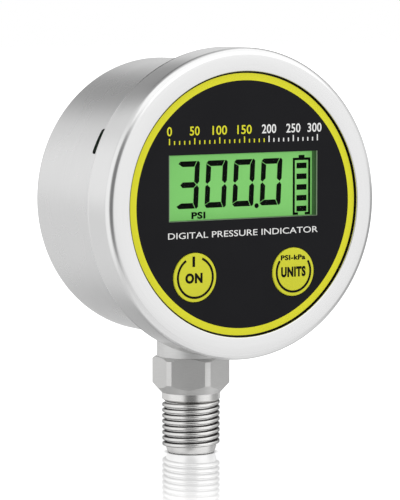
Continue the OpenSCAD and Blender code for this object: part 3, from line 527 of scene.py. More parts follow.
# Name, darker and lighter colour, roughness, pits to the metre, bump, metal, gloss
MOTTLED = (
    ("fixing_steel", (0.5, 0.5, 0.47), (0.68, 0.67, 0.62), (0.25, 0.4), 2500, 0.2, 1.0),
    ("black_rubber", (0.018, 0.018, 0.018), (0.035, 0.035, 0.035), (0.6, 0.8), 3000, 0.3),
    ("panel_plastic", (0.02, 0.02, 0.022), (0.035, 0.035, 0.038), (0.45, 0.6), 3500, 0.25),
    ("face_black", (0.0095, 0.0095, 0.011), (0.0135, 0.0135, 0.015), (0.42, 0.5), 5000, 0.12, 0.0, 0.05),
    ("yellow_print", (0.70, 0.68, 0.025), (0.76, 0.74, 0.04), (0.38, 0.48), 5000, 0.08, 0.0, 0.1),
    ("white_print", (0.78, 0.78, 0.77), (0.86, 0.86, 0.85), (0.4, 0.5), 5000, 0.08, 0.0, 0.1),
    ("key_yellow", (0.60, 0.60, 0.030), (0.67, 0.67, 0.042), (0.36, 0.46), 4000, 0.1, 0.0, 0.15),
    ("black_print", (0.003, 0.003, 0.003), (0.007, 0.007, 0.007), (0.4, 0.5), 5000, 0.08, 0.0, 0.05),
    ("switch_cover", (0.42, 0.42, 0.4), (0.6, 0.6, 0.57), (0.3, 0.45), 2500, 0.2, 1.0),
    ("display_black", (0.001, 0.002, 0.001), (0.003, 0.005, 0.003), (0.4, 0.5), 6000, 0.05, 0.0, 0.03),
    ("contact_rubber", (0.06, 0.06, 0.07), (0.11, 0.11, 0.12), (0.6, 0.8), 3000, 0.3),
    ("clear_guide", (0.5, 0.72, 0.42), (0.62, 0.8, 0.55), (0.1, 0.2), 900, 0.05),
    ("white_film", (0.78, 0.79, 0.77), (0.86, 0.87, 0.85), (0.5, 0.6), 3000, 0.1),
    ("led_plastic", (0.5, 0.8, 0.3), (0.65, 0.9, 0.45), (0.15, 0.25), 2000, 0.1),
    ("board_green", (0.01, 0.10, 0.035), (0.02, 0.16, 0.06), (0.25, 0.4), 1200, 0.3),
    ("chip_plastic", (0.02, 0.02, 0.02), (0.04, 0.04, 0.04), (0.5, 0.65), 4000, 0.3),
    ("cell_wrap", (0.03, 0.10, 0.28), (0.05, 0.14, 0.36), (0.25, 0.35), 1500, 0.06, 0.3),
    ("contact_metal", (0.55, 0.5, 0.36), (0.74, 0.69, 0.52), (0.22, 0.36), 2500, 0.15, 1.0),
    ("sensor_steel", (0.6, 0.6, 0.6), (0.75, 0.75, 0.75), (0.2, 0.32), 2500, 0.12, 1.0),
    ("ring_brass", (0.55, 0.38, 0.12), (0.75, 0.56, 0.22), (0.22, 0.35), 2500, 0.15, 1.0),
    ("ribbon_film", (0.38, 0.17, 0.02), (0.5, 0.25, 0.04), (0.2, 0.3), 1500, 0.08),
    ("socket_plastic", (0.62, 0.58, 0.46), (0.72, 0.68, 0.56), (0.35, 0.5), 3000, 0.15),
    # Painted highlight on the window's edge
    ("pane_edge_highlight", (0.17, 0.25, 0.15), (0.24, 0.33, 0.21), (0.15, 0.25), 2500, 0.1, 0.0, 0.2),
)

FINISH = {row[0]: steel(*row) for row in STEELS}
FINISH.update({row[0]: mottled(*row) for row in MOTTLED})
FINISH["thread_steel"] = thread_steel()
FINISH["lit_wall"] = lit_wall()
FINISH["display_green"] = display_green()
FINISH["window_clear"] = clear_pane()

# Slots of the record whose finish has another name
SLOT_FINISH = {"cell_can": "cell_wrap", "display_glass": "display_green"}


def paint(piece, finish):
    piece.data.materials.clear()
    piece.data.materials.append(FINISH[finish])


def finish_cad_nodes():
    """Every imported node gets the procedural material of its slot."""
    for entry in frame["record"]["subparts"]:
        slot = entry["material_slot"]
        paint(frame["nodes"][entry["node"]], SLOT_FINISH.get(slot, slot))


# Mesh helpers

def link(data, name):
    """Puts a mesh, a curve, a lamp or a camera into the scene."""
    thing = bpy.data.objects.new(name, data)
    bpy.context.scene.collection.objects.link(thing)
    return thing


def mend(mesh):
    """Merges double points and turns all faces outwards."""
    work = bmesh.new()
    work.from_mesh(mesh)
    bmesh.ops.remove_doubles(work, verts=work.verts, dist=MERGE * MM)
    bmesh.ops.recalc_face_normals(work, faces=work.faces)
    work.to_mesh(mesh)
    work.free()


def mesh_from(name, points, faces):
    mesh = bpy.data.meshes.new(name)
    mesh.from_pydata([[value * MM for value in point] for point in points], [], faces)
    mend(mesh)
    return link(mesh, name)


def arc(centre, radius, start, end, steps=10):
    """Points on an arc in a flat outline or a profile, where angles go from outwards to depth."""
    points = []
    for k in range(steps + 1):
        angle = math.radians(start + (end - start) * k / steps)
        points.append((centre[0] + radius * math.cos(angle), centre[1] + radius * math.sin(angle)))
    return points


def band(here, there, count):
    """Faces between two loops of points, given by their first places in the list."""
    faces = []
    for k in range(count):
        k_next = (k + 1) % count
        faces.append((here + k, here + k_next, there + k_next, there + k))
    return faces


def turned(name, profile, to_point, steps=ROUND_STEPS):
    """A closed profile of (radius, height) turned all the way round."""
    count = len(profile)
    points = []
    faces = []
    for step in range(steps):
        angle = 2 * math.pi * step / steps
        points.extend(to_point(radius, height, angle) for radius, height in profile)
        faces.extend(band(step * count, (step + 1) % steps * count, count))
    return mesh_from(name, points, faces)


def rod(name, radius, low, high, to_point, steps):
    """A plain round bar between two heights on an axis."""
    profile = [(AXIS_R, low), (radius, low), (radius, high), (AXIS_R, high)]
    return turned(name, profile, to_point, steps)


def on_dial(radius, depth, angle, x=0.0, z=0.0):
    return (
        DIAL_X + x + radius * math.cos(angle),
        FACE_Y + depth,
        DIAL_Z + z + radius * math.sin(angle),
    )


def on_vent(radius, depth, angle):
    return on_dial(radius, depth, angle, 0, VENT_Z)


def on_stem(radius, height, angle):
    return (radius * math.cos(angle), radius * math.sin(angle), height)


def sector_block(name, inner, outer, front, back, start, end, steps=12):
    """A block between two radii, two depths and two angles round the dial."""
    corners = ((inner, front), (outer, front), (outer, back), (inner, back))
    points = []
    for k in range(steps + 1):
        angle = math.radians(start + (end - start) * k / steps)
        points.extend(on_dial(radius, depth, angle) for radius, depth in corners)
    faces = [(0, 1, 2, 3), tuple(4 * steps + k for k in (3, 2, 1, 0))]
    for step in range(steps):
        faces.extend(band(4 * step, 4 * step + 4, 4))
    return mesh_from(name, points, faces)


def prism(name, outline, to_point, low, high):
    """A straight prism over a flat outline."""
    count = len(outline)
    points = [to_point(x, y, low) for x, y in outline]
    points += [to_point(x, y, high) for x, y in outline]
    faces = [tuple(range(count)), tuple(range(2 * count - 1, count - 1, -1))]
    return mesh_from(name, points, faces + band(0, count, count))


def plain_mesh(shape):
    """The finished mesh of a curve, a text or a piece with modifiers."""
    bpy.context.view_layer.update()
    graph = bpy.context.evaluated_depsgraph_get()
    return bpy.data.meshes.new_from_object(shape.evaluated_get(graph))


def bake_modifiers(piece):
    """Turns the modifiers' result into the piece's own plain mesh."""
    mesh = plain_mesh(piece)
    piece.modifiers.clear()
    piece.data = mesh


def cut(piece, tool, operation="DIFFERENCE"):
    """Cuts a piece with a tool, which is then deleted."""
    modifier = piece.modifiers.new("cut", "BOOLEAN")
    modifier.operation = operation
    modifier.solver = "EXACT"
    modifier.object = tool
    bake_modifiers(piece)
    bpy.data.objects.remove(tool)


def join(name, pieces):
    """One piece made of several pieces' meshes, which are deleted."""
    work = bmesh.new()
    for piece in pieces:
        work.from_mesh(piece.data)
    mesh = bpy.data.meshes.new(name)
    work.to_mesh(mesh)
    work.free()
    for piece in pieces:
        bpy.data.objects.remove(piece)
    return link(mesh, name)


def dress(piece, finish, body, slot, *nodes, sharp=SHARP_DEG):
    """Gives a piece its finish, body and the CAD nodes that it stands for. The slot is not used."""
    paint(piece, finish)
    piece.data.shade_smooth()
    piece.data.set_sharp_from_angle(angle=math.radians(sharp))
    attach(piece, body)
    if nodes:
        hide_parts(*nodes)


# Geometry node helpers

def close_tree(tree, shape, finish, end):
    """Ends a tree with real meshes in their own material."""
    real = add_node(tree, "GeometryNodeRealizeInstances", {0: shape})
    inputs = {"Geometry": real.outputs[0], "Material": finish}
    feed(tree, end[0], add_node(tree, "GeometryNodeSetMaterial", inputs).outputs[0])
    return tree


def from_tree(name, tree, values):
    """A plain mesh piece made by a geometry node tree with the given inputs."""
    piece = link(bpy.data.meshes.new(name), name)
    modifier = piece.modifiers.new("shape", "NODES")
    modifier.node_group = tree
    for item in tree.interface.items_tree:
        if item.in_out == "INPUT" and item.name in values:
            modifier[item.identifier] = values[item.name]
    bake_modifiers(piece)
    return piece


# Bezel

def bezel_profile():
    """The bezel's section: lip, rounded front, skirt with a fold line, and back inside."""
    lip_back = BEZEL_FRONT + BEZEL_WALL
    lip_centre = (BEZEL_OPEN_R + LIP_ROUND, LIP_FRONT + LIP_ROUND)
    edge_centre = (BEZEL_R - BEZEL_ROUND, BEZEL_FRONT + BEZEL_ROUND)
    end_centre = (BEZEL_R - SKIRT_ROUND, SKIRT_END - SKIRT_ROUND)
    profile = arc(lip_centre, LIP_ROUND, 180, 265, 4)
    profile += arc(edge_centre, BEZEL_ROUND, 270, 360, 16)
    profile += [(BEZEL_R, SKIRT_END - FOLD_START), (BEZEL_R - FOLD_DEPTH, SKIRT_END - FOLD_BOTTOM)]
    profile += arc(end_centre, SKIRT_ROUND, 0, 90, 6)
    profile += [(SKIRT_IN_R, SKIRT_END), (SKIRT_IN_R, lip_back), (BEZEL_OPEN_R, lip_back)]
    return profile


def make_bezel():
    pieces = [turned("bezel_turned", bezel_profile(), on_dial, FINE_STEPS)]
    outer = SKIRT_IN_R + BEZEL_WALL / 2
    for k in range(TAB_COUNT):
        start = TAB_ANGLE + 360 / TAB_COUNT * k - TAB_SPAN / 2
        pieces.append(sector_block(
            f"bezel_tab_{k}", TAB_REACH_R, outer, SKIRT_END - TAB_T, SKIRT_END,
            start, start + TAB_SPAN))
    dress(join("bezel_shell", pieces), "bezel_steel", "bezel", "bezel_steel", "bezel_ring")


# Case

def case_profile():
    """The drum's section, outside from the rim to the sunk back, then inside."""
    centre = (CASE_R - CASE_EDGE_R, CASE_BACK - CASE_EDGE_R)
    floor_in = BACK_FLOOR - CASE_WALL
    sunk_in_r = SUNK_R + CASE_WALL
    profile = [(CASE_R - RIM_CHAMFER, CASE_FRONT), (CASE_R, CASE_FRONT + RIM_CHAMFER)]
    profile += arc(centre, CASE_EDGE_R, 0, 90, 12)
    profile += [(SUNK_R + out, CASE_BACK + deep) for out, deep in SUNK_EDGE]
    profile += [(SUNK_R - SUNK_SLOPE, BACK_FLOOR), (AXIS_R, BACK_FLOOR), (AXIS_R, floor_in)]
    profile += [(sunk_in_r, floor_in), (sunk_in_r, CASE_BACK - CASE_WALL)]
    profile += arc(centre, CASE_EDGE_R - CASE_WALL, 90, 0, 8)
    profile += [(CASE_R - CASE_WALL, CASE_FRONT)]
    return profile


def wide_slot(middle):
    """The wide end of a bayonet opening, cut straight outwards."""
    inner = SLOT_HALF_W - SLOT_CORNER
    front = SKIRT_END - TAB_T
    outline = [(-SLOT_HALF_W, front), (SLOT_HALF_W, front)]
    outline += arc((inner, SLOT_BACK - SLOT_CORNER), SLOT_CORNER, 0, 90, 5)
    outline += arc((-inner, SLOT_BACK - SLOT_CORNER), SLOT_CORNER, 90, 180, 5)
    angle = math.radians(middle)
    out = Vector((math.cos(angle), 0, math.sin(angle)))
    side = Vector((math.sin(angle), 0, -math.cos(angle)))

    def to_point(x, depth, radius):
        return Vector((DIAL_X, FACE_Y + depth, DIAL_Z)) + out * radius + side * x

    return prism("slot_tool", outline, to_point, CASE_R - WALL_REACH, CASE_R + WALL_REACH)


def cut_slots(case):
    """The bayonet openings: a run for each tab, its way in from the rim, and a wide end."""
    inner, outer = CASE_R - WALL_REACH, CASE_R + WALL_REACH
    front, back = SKIRT_END - TAB_T - SLOT_GAP, SKIRT_END + SLOT_GAP
    room = TAB_SPAN / 2 + SLOT_ROOM
    for k in range(TAB_COUNT):
        first = TAB_ANGLE + 360 / TAB_COUNT * k
        last = first + TURN_ANGLE
        cut(case, sector_block("run_tool", inner, outer, front, back, first - room, last + room))
        cut(case, sector_block(
            "entry_tool", inner, outer, CASE_FRONT - END_REACH, back, last - room, last + room))
        cut(case, wide_slot(first))


def make_case():
    case = turned("case_drum", case_profile(), on_dial, FINE_STEPS)
    cut_slots(case)
    hole_low, hole_high = SEAL_Z - HOLE_BELOW, SEAL_Z + HOLE_ABOVE
    cut(case, rod("hole_tool", SPIGOT_HOLE_R, hole_low, hole_high, on_stem, HOLE_STEPS))
    vent_front, vent_back = CASE_BACK - VENT_REACH, CASE_BACK + END_REACH
    cut(case, rod("vent_tool", VENT_R, vent_front, vent_back, on_vent, HOLE_STEPS))
    dress(case, "case_steel", "housing", "case_steel", "case_shell")


def make_vent_plug():
    """A soft plug with a barb inside the case and a dished head outside."""
    barb_low, barb_high = BACK_FLOOR - PLUG_BARB_LOW, BACK_FLOOR - PLUG_BARB_HIGH
    head, dish = BACK_FLOOR + PLUG_HEAD, BACK_FLOOR + PLUG_DISH
    profile = [(PLUG_HOLE_R, barb_low), (PLUG_BARB_R, barb_low), (PLUG_BARB_R, barb_high)]
    profile += [(PLUG_NECK_R, barb_high), (PLUG_NECK_R, BACK_FLOOR), (PLUG_FLANGE_R, BACK_FLOOR)]
    profile += arc((PLUG_FLANGE_R - PLUG_ROUND, head - PLUG_ROUND), PLUG_ROUND, 0, 90, 5)
    profile += [(PLUG_DISH_RIM_R, head), (PLUG_DISH_R, dish), (PLUG_HOLE_R, dish)]
    plug = turned("vent_cap", profile, on_vent, HOLE_STEPS)
    dress(plug, "black_rubber", "housing", "black_rubber", "vent_plug")


# Face

def circle_loop(radius, x=0.0, y=0.0, steps=BAR_STEPS):
    return arc((x, y), radius, 0, 360, steps)[:-1]


def box_loop(left, right, low, high):
    return [(left, low), (right, low), (right, high), (left, high)]


def window_loop(inset):
    """The window's outline, moved inwards by an inset."""
    half_w = WINDOW_W / 2 - inset
    half_h = WINDOW_H / 2 - inset
    return box_loop(-half_w, half_w, WINDOW_Z - half_h, WINDOW_Z + half_h)


def flat_to_face(name, shape, depth):
    """Makes a flat curve or text a mesh and stands it up on the face."""
    mesh = plain_mesh(shape)
    bpy.data.objects.remove(shape)
    stand = Matrix.Rotation(math.pi / 2, 4, "X")
    place = Matrix.Translation(Vector((DIAL_X, FACE_Y + depth, DIAL_Z)) * MM)
    mesh.transform(place @ stand)
    mend(mesh)
    return link(mesh, name)


def flat_piece(name, loops, front, thickness=PRINT_T):
    """A flat plate with holes, parallel to the face, from its front depth backwards."""
    curve = bpy.data.curves.new(name, "CURVE")
    curve.dimensions = "2D"
    curve.fill_mode = "BOTH"
    curve.extrude = thickness / 2 * MM
    for loop in loops:
        spline = curve.splines.new("POLY")
        spline.points.add(len(loop) - 1)
        for point, (x, y) in zip(spline.points, loop):
            point.co = (x * MM, y * MM, 0, 1)
        spline.use_cyclic_u = True
    return flat_to_face(name, link(curve, name), front + thickness / 2)


def make_face():
    """The printed sheet with its openings, and the yellow ring round it."""
    hole_r = BUTTON_R + BUTTON_GAP
    loops = [circle_loop(SHEET_R, steps=FINE_STEPS), window_loop(0)]
    loops += [circle_loop(hole_r, x, BUTTON_Z) for x in (-BUTTON_X, BUTTON_X)]
    sheet = flat_piece("printed_face", loops, 0, SHEET_T)
    dress(sheet, "face_black", "housing", "face_black", "face_sheet")
    loops = [circle_loop(radius, steps=FINE_STEPS) for radius in (RING_R, RING_R - RING_W)]
    ring = flat_piece("yellow_ring", loops, -PRINT_T)
    dress(ring, "yellow_print", "housing", "yellow_print", "face_ring")


def make_window_rim():
    """The clear window's polished edge, as a lighter strip painted as its highlight, and the wall behind
    it with its painted green glow.
    """
    # Painted highlight: the strip runs down the left side, along the bottom and up the right side, and
    # not along the top
    side = WINDOW_W / 2 - WINDOW_GAP
    top = WINDOW_Z + WINDOW_H / 2 - WINDOW_GAP
    low = WINDOW_Z - WINDOW_H / 2 + WINDOW_GAP
    inner, inner_low = side - WINDOW_EDGE, low + WINDOW_EDGE / 2
    outline = [(-side, top), (-side, low), (side, low), (side, top), (inner, top)]
    outline += [(inner, inner_low), (-inner, inner_low), (-inner, top)]
    edge = flat_piece("window_edge", [outline], SHEET_T / 2)
    dress(edge, "pane_edge_highlight", "housing", "window_clear")
    loops = [window_loop(WINDOW_GAP), window_loop(WINDOW_GAP + WINDOW_WALL)]
    depth = LCD_FRONT - SHEET_T - 2 * PRINT_T
    wall = flat_piece("window_wall", loops, SHEET_T + PRINT_T, depth)
    dress(wall, "lit_wall", "housing", "panel_plastic")


# Lettering, which is generic: numbers, units and what the buttons do

FONT_SIZE = 10.0
FONT_STEPS = 4


def letters(name, words, box, front, weight=0.0, thickness=PRINT_T):
    """Words fitted to a box (left, right, low, high) on the face."""
    curve = bpy.data.curves.new(name, "FONT")
    curve.body = words
    curve.size = FONT_SIZE * MM
    curve.offset = weight * MM
    curve.space_character = 1.0 + weight / 4
    curve.extrude = thickness / 2 * MM
    curve.resolution_u = FONT_STEPS
    piece = flat_to_face(name, link(curve, name), front + thickness / 2)
    left, right, low, high = (value * MM for value in box)
    xs = [vertex.co.x for vertex in piece.data.vertices]
    zs = [vertex.co.z for vertex in piece.data.vertices]
    x_start, z_start = min(xs), min(zs)
    x_scale = (right - left) / (max(xs) - x_start)
    z_scale = (high - low) / (max(zs) - z_start)
    for vertex in piece.data.vertices:
        vertex.co.x = DIAL_X * MM + left + (vertex.co.x - x_start) * x_scale
        vertex.co.z = DIAL_Z * MM + low + (vertex.co.z - z_start) * z_scale
    return piece


def tick_tree():
    """Geometry nodes for a row of upright ticks, a longer one at every few."""
    inputs = [
        ("Count", INTEGER, 10),
        ("Phase", INTEGER, 0),
        ("Every", INTEGER, 5),
        ("Start", VECTOR, (0, 0, 0)),
        ("Step", VECTOR, (0.0014, 0, 0)),
        ("Width", FLOAT, 0.0003),
        ("Thickness", FLOAT, 0.00004),
        ("Short", FLOAT, 0.0009),
        ("Long", FLOAT, 0.0015),
        ("Finish", MATERIAL, None),
    ]
    tree, given, end = new_tree("tick_row", "GeometryNodeTree", inputs, SHAPE_OUTPUTS)
    line = {"Count": given["Count"], "Start Location": given["Start"], "Offset": given["Step"]}
    row = add_node(tree, "GeometryNodeMeshLine", line, mode="OFFSET").outputs[0]
    index = add_node(tree, "GeometryNodeInputIndex").outputs[0]
    phased = math_node(tree, "ADD", index, given["Phase"])
    rest = math_node(tree, "MODULO", phased, given["Every"])
    is_long = math_node(tree, "LESS_THAN", rest, 0.5)
    extra = math_node(tree, "SUBTRACT", given["Long"], given["Short"])
    extra = math_node(tree, "MULTIPLY", extra, is_long)
    height = math_node(tree, "ADD", given["Short"], extra)
    lift = merged_vector(tree, 0.0, 0.0, math_node(tree, "MULTIPLY", height, 0.5))
    raised = add_node(tree, "GeometryNodeSetPosition", {"Geometry": row, "Offset": lift})
    size = merged_vector(tree, given["Width"], given["Thickness"], 1.0)
    tick = add_node(tree, "GeometryNodeMeshCube", {"Size": size})
    copies = add_node(tree, "GeometryNodeInstanceOnPoints", {
        "Points": raised.outputs[0],
        "Instance": tick.outputs["Mesh"],
        "Scale": merged_vector(tree, 1.0, 1.0, height),
    })
    return close_tree(tree, copies.outputs[0], given["Finish"], end)


def make_ticks():
    tree = tick_tree()
    rows = (
        ("scale_yellow", 0, SCALE_SPLIT, "yellow_print"),
        ("scale_white", SCALE_SPLIT, SCALE_COUNT - SCALE_SPLIT, "white_print"),
    )
    for name, first, count, finish in rows:
        x = DIAL_X + SCALE_LEFT + first * SCALE_STEP
        values = {
            "Count": count,
            "Phase": first,
            "Every": TICK_EVERY,
            "Start": (x * MM, (FACE_Y - PRINT_T / 2) * MM, (DIAL_Z + SCALE_LOW) * MM),
            "Step": (SCALE_STEP * MM, 0, 0),
            "Width": TICK_W * MM,
            "Thickness": PRINT_T * MM,
            "Short": TICK_SHORT * MM,
            "Long": TICK_LONG * MM,
            "Finish": FINISH[finish],
        }
        dress(from_tree(name, tree, values), finish, "housing", "yellow_print", "scale_ticks")


def make_numbers():
    for k in range(NUMBER_COUNT):
        words = str(NUMBER_STEP * k)
        half = NUMBER_HALF_W * len(words)
        x = min(SCALE_LEFT + TICK_EVERY * k * SCALE_STEP, NUMBER_REACH - half)
        box = (x - half, x + half, NUMBER_LOW, NUMBER_HIGH)
        number = letters(f"scale_number_{k}", words, box, -PRINT_T, NUMBER_WEIGHT)
        finish = "yellow_print" if TICK_EVERY * k < SCALE_SPLIT else "white_print"
        dress(number, finish, "housing", "yellow_print")


def make_lettering():
    line = letters("face_words", "DIGITAL PRESSURE INDICATOR", FACE_WORDS_BOX, -PRINT_T)
    dress(line, "white_print", "housing", "yellow_print")
    unit = letters("display_unit", "PSI", UNIT_BOX, LCD_FRONT, UNIT_WEIGHT, SEGMENT_T)
    dress(unit, "display_black", "housing", "display_black")


# Buttons

def make_button(name, side, node, body):
    """A button cap with a softly rounded rim, replacing the plain CAD cap."""
    def on_button(radius, depth, angle):
        return on_dial(radius, depth, angle, side * BUTTON_X, BUTTON_Z)

    flange_r, flange_back = BUTTON_R + FLANGE_W, FLANGE_FRONT + FLANGE_T
    centre = (BUTTON_R - BUTTON_ROUND, BUTTON_FRONT + BUTTON_ROUND)
    profile = [(AXIS_R, BUTTON_FRONT)]
    profile += arc(centre, BUTTON_ROUND, 270, 360, 5)
    profile += [(BUTTON_R, FLANGE_FRONT), (flange_r, FLANGE_FRONT), (flange_r, flange_back)]
    profile += [(BUTTON_POST_R, flange_back), (BUTTON_POST_R, BUTTON_POST_END)]
    profile += [(AXIS_R, BUTTON_POST_END)]
    cap = turned(name + "_cap", profile, on_button, BAR_STEPS)
    dress(cap, "key_yellow", body, "key_yellow", node)


def mark_arc(name, x, start, end):
    """A printed ring round a button's words, open in one place."""
    outline = arc((x, BUTTON_Z), MARK_R, start, end, ARC_STEPS)
    outline += arc((x, BUTTON_Z), MARK_IN_R, end, start, ARC_STEPS)
    return flat_piece(name, [outline], BUTTON_FRONT - PRINT_T)


def print_black(piece, body, *nodes):
    dress(piece, "black_print", body, "black_print", *nodes)


def make_marks():
    """The ring, the bar and the words that are printed on the buttons."""
    front = BUTTON_FRONT - PRINT_T
    print_black(mark_arc("on_arc", -BUTTON_X, *ON_ARC), "on_key", "on_button_mark")
    print_black(flat_piece("on_bar", [box_loop(*ON_BAR)], front), "on_key")
    print_black(letters("on_word", "ON", ON_BOX, front, ON_WEIGHT), "on_key")
    print_black(mark_arc("units_arc", BUTTON_X, *UNITS_ARC), "units_key", "units_button_mark")
    print_black(letters("units_word", "UNITS", UNITS_BOX, front, UNITS_WEIGHT), "units_key")
    names = letters("units_names", "PSI-kPa", UNIT_NAMES_BOX, front, UNIT_NAMES_WEIGHT)
    print_black(names, "units_key")


# Stem

def make_hexagon():
    """The turned blank with its cones, cut to six flats."""
    shape = [(AXIS_R, HEX_Z), (HEX_LOW_R, HEX_Z), (HEX_TURNED_R, HEX_Z + HEX_LOW_LEN)]
    shape += [(HEX_TURNED_R, NECK_Z - HEX_TOP_LEN), (HEX_TOP_R, NECK_Z), (AXIS_R, NECK_Z)]
    hexagon = turned("hexagon", shape, on_stem)
    corner = HEX_W / 2 / math.cos(math.pi / 6)
    outline = arc((0, 0), corner, HEX_TURN, HEX_TURN + 300, 5)

    def to_point(x, y, height):
        return (x, y, height)

    flats = prism("hex_tool", outline, to_point, HEX_Z - END_REACH, NECK_Z + END_REACH)
    cut(hexagon, flats, "INTERSECT")
    dress(hexagon, "hex_steel", "housing", "stem_steel", "stem", sharp=HEX_SHARP_DEG)


def make_neck():
    """The neck, with a saddle that fits the drum and a seat for the seal."""
    low, high = NECK_Z - NECK_SINK, NECK_TOP + NECK_RISE
    profile = [(SPIGOT_HOLE_R, low), (NECK_R, low), (NECK_R, high)]
    profile += [(SEAL_SEAT_R, high), (SEAL_SEAT_R, SEAL_Z), (SPIGOT_HOLE_R, SEAL_Z)]
    neck = turned("stem_neck", profile, on_stem)
    saddle_r, saddle_end = CASE_R + SEAT_GAP, CASE_BACK + SADDLE_REACH
    cut(neck, rod("saddle_tool", saddle_r, 0, saddle_end, on_dial, SADDLE_STEPS))
    dress(neck, "neck_steel", "housing", "stem_steel", "stem")


def thread_core_profile():
    """The turned bar under the thread, with its collar, port and lead cone."""
    runout_r = THREAD_ROOT_R + RUNOUT_RISE
    top = HEX_Z + COLLAR_CHAMFER_H
    profile = [(PORT_R + PORT_CHAMFER, 0), (LEAD_LOW_R - LEAD_CHAMFER, 0)]
    profile += [(LEAD_LOW_R, LEAD_CHAMFER_H), (THREAD_ROOT_R, LEAD_LEN)]
    profile += [(THREAD_ROOT_R + ROOT_TAPER, THREAD_LEN - RUNOUT_START)]
    profile += [(runout_r, THREAD_LEN - RUNOUT_END), (COLLAR_R - COLLAR_CHAMFER, THREAD_LEN)]
    profile += [(COLLAR_R, THREAD_LEN + COLLAR_CHAMFER_H), (COLLAR_R, HEX_Z)]
    profile += [(COLLAR_R - COLLAR_STEP, top), (PORT_R, top), (PORT_R, PORT_CHAMFER)]
    return profile


def ridge_section(tree, given):
    """The ridge's section: a trapezoid with rounded corners, turned to face outwards."""
    trapezoid = {
        "Height": given["Depth"],
        "Bottom Width": given["Pitch"],
        "Top Width": given["Crest"],
        "Offset": 0.0,
    }
    outline = add_node(
        tree, "GeometryNodeCurvePrimitiveQuadrilateral", trapezoid, mode="TRAPEZOID").outputs[0]
    rounding = {"Curve": outline, "Radius": given["Rounding"], "Limit Radius": True, "Count": 4}
    soft = add_node(tree, "GeometryNodeFilletCurve", rounding, mode="POLY").outputs[0]
    turn = {"Geometry": soft, "Rotation": (0, 0, -math.pi / 2)}
    return add_node(tree, "GeometryNodeTransform", turn).outputs[0]


def thread_tree():
    """Geometry nodes for a right-hand ridge with sloping flanks that winds up a slight taper."""
    inputs = [
        ("Turns", FLOAT, 9.0),
        ("Low Radius", FLOAT, 0.006),
        ("High Radius", FLOAT, 0.0064),
        ("Height", FLOAT, 0.0125),
        ("Lift", VECTOR, (0, 0, 0)),
        ("Depth", FLOAT, 0.0008),
        ("Pitch", FLOAT, 0.0014),
        ("Crest", FLOAT, 0.0004),
        ("Rounding", FLOAT, 0.0002),
        ("Finish", MATERIAL, None),
    ]
    tree, given, end = new_tree("thread_ridge", "GeometryNodeTree", inputs, SHAPE_OUTPUTS)
    helix = add_node(tree, "GeometryNodeCurveSpiral", {
        "Resolution": ARC_STEPS,
        "Rotations": given["Turns"],
        "Start Radius": given["Low Radius"],
        "End Radius": given["High Radius"],
        "Height": given["Height"],
        "Reverse": True,
    })
    level = add_node(
        tree, "GeometryNodeSetCurveNormal", {"Curve": helix.outputs[0]}, mode="Z_UP")
    along = add_node(tree, "GeometryNodeSplineParameter").outputs["Factor"]
    nearest = math_node(tree, "MINIMUM", along, math_node(tree, "SUBTRACT", 1.0, along))
    ends = math_node(tree, "MULTIPLY", given["Turns"], END_FADE)
    fade = math_node(tree, "MINIMUM", math_node(tree, "MULTIPLY", nearest, ends), 1.0)
    fade = math_node(tree, "MAXIMUM", fade, END_SHARE)
    path = {"Curve": level.outputs[0], "Radius": fade}
    sweep = {
        "Curve": add_node(tree, "GeometryNodeSetCurveRadius", path).outputs[0],
        "Profile Curve": ridge_section(tree, given),
        "Fill Caps": True,
    }
    ridge = add_node(tree, "GeometryNodeCurveToMesh", sweep).outputs[0]
    lift = {"Geometry": ridge, "Translation": given["Lift"]}
    lifted = add_node(tree, "GeometryNodeTransform", lift).outputs[0]
    return close_tree(tree, lifted, given["Finish"], end)


def make_thread():
    core = turned("thread_core", thread_core_profile(), on_stem, BAR_STEPS)
    dress(core, "stem_steel", "housing", "stem_steel", "stem")
    low_r = THREAD_CREST_R - RIDGE_H / 2
    values = {
        "Turns": THREAD_TURNS,
        "Low Radius": low_r * MM,
        "High Radius": (low_r + THREAD_TAPER) * MM,
        "Height": THREAD_TURNS * THREAD_PITCH * MM,
        "Lift": (0, 0, THREAD_START * MM),
        "Depth": RIDGE_H * MM,
        "Pitch": THREAD_PITCH * MM,
        "Crest": CREST_W * MM,
        "Rounding": CREST_ROUND * MM,
        "Finish": FINISH["thread_steel"],
    }
    piece = from_tree("thread_winding", thread_tree(), values)
    dress(piece, "thread_steel", "housing", "stem_steel", "stem", sharp=THREAD_SHARP_DEG)


# Studio

CAMERA_AZIMUTH = math.radians(-31.707)
CAMERA_ELEVATION = math.radians(4.35)
CAMERA_DISTANCE = 709.95
FOCAL_PX = 2929.8
DIAL_PX_RIGHT = 44.33
DIAL_PX_UP = 45.52
FRAME_LONG_PX = 500
SENSOR_W = 36.0
CLIP_START = 50.0
CLIP_END = 50000.0
WHITE = (1, 1, 1, 1)
STUDIO_EVEN = 0.86
DIFFUSE_LEVEL = 0.62
FLOOR_COLOUR = (0.97, 0.97, 0.97, 1)
FLOOR_LEVEL = 1.5
FLOOR_IN_GLOSS = 0.84
FLOOR_MIRROR = 0.6
FLOOR_ROUGH = 0.03
FLOOR_DROP = 0.05
FLOOR_REACH = 4000.0
SHADOW_R = 6.0
SHADOW_END_R = 7.0
MIRROR_R = 30.0
MIRROR_END_R = 150.0
LAMP_TARGET = (0, 0, 50)

# Parts of the studio that metal mirrors darker, or lighter where the depth is below zero:
# name, direction, how near a direction is where the part starts and is full, and depth
STUDIO_PARTS = (
    ("Upper Back", (0.09, 0.848, 0.52), 0.94, 0.995, 0.455),
    ("Right", (0.985, -0.15, -0.05), 0.80, 0.97, 0.42),
    ("Front Right", (0.55, -0.80, 0.22), 0.75, 0.97, -0.25),
    ("Left", (-0.99, -0.02, 0.05), 0.62, 0.93, -0.26),
    ("Left Back", (-0.50, 0.848, 0.17), 0.955, 0.995, -0.17),
    ("Top", (0.25, -0.45, 0.86), 0.60, 0.72, -0.45),
    ("High Back", (0.0, 0.45, 0.89), 0.85, 0.93, 0.45),
    ("Right Back", (0.74, 0.60, 0.31), 0.935, 0.97, 0.5),
)
CAMERA_PART = (0.80, 0.96, 0.62)

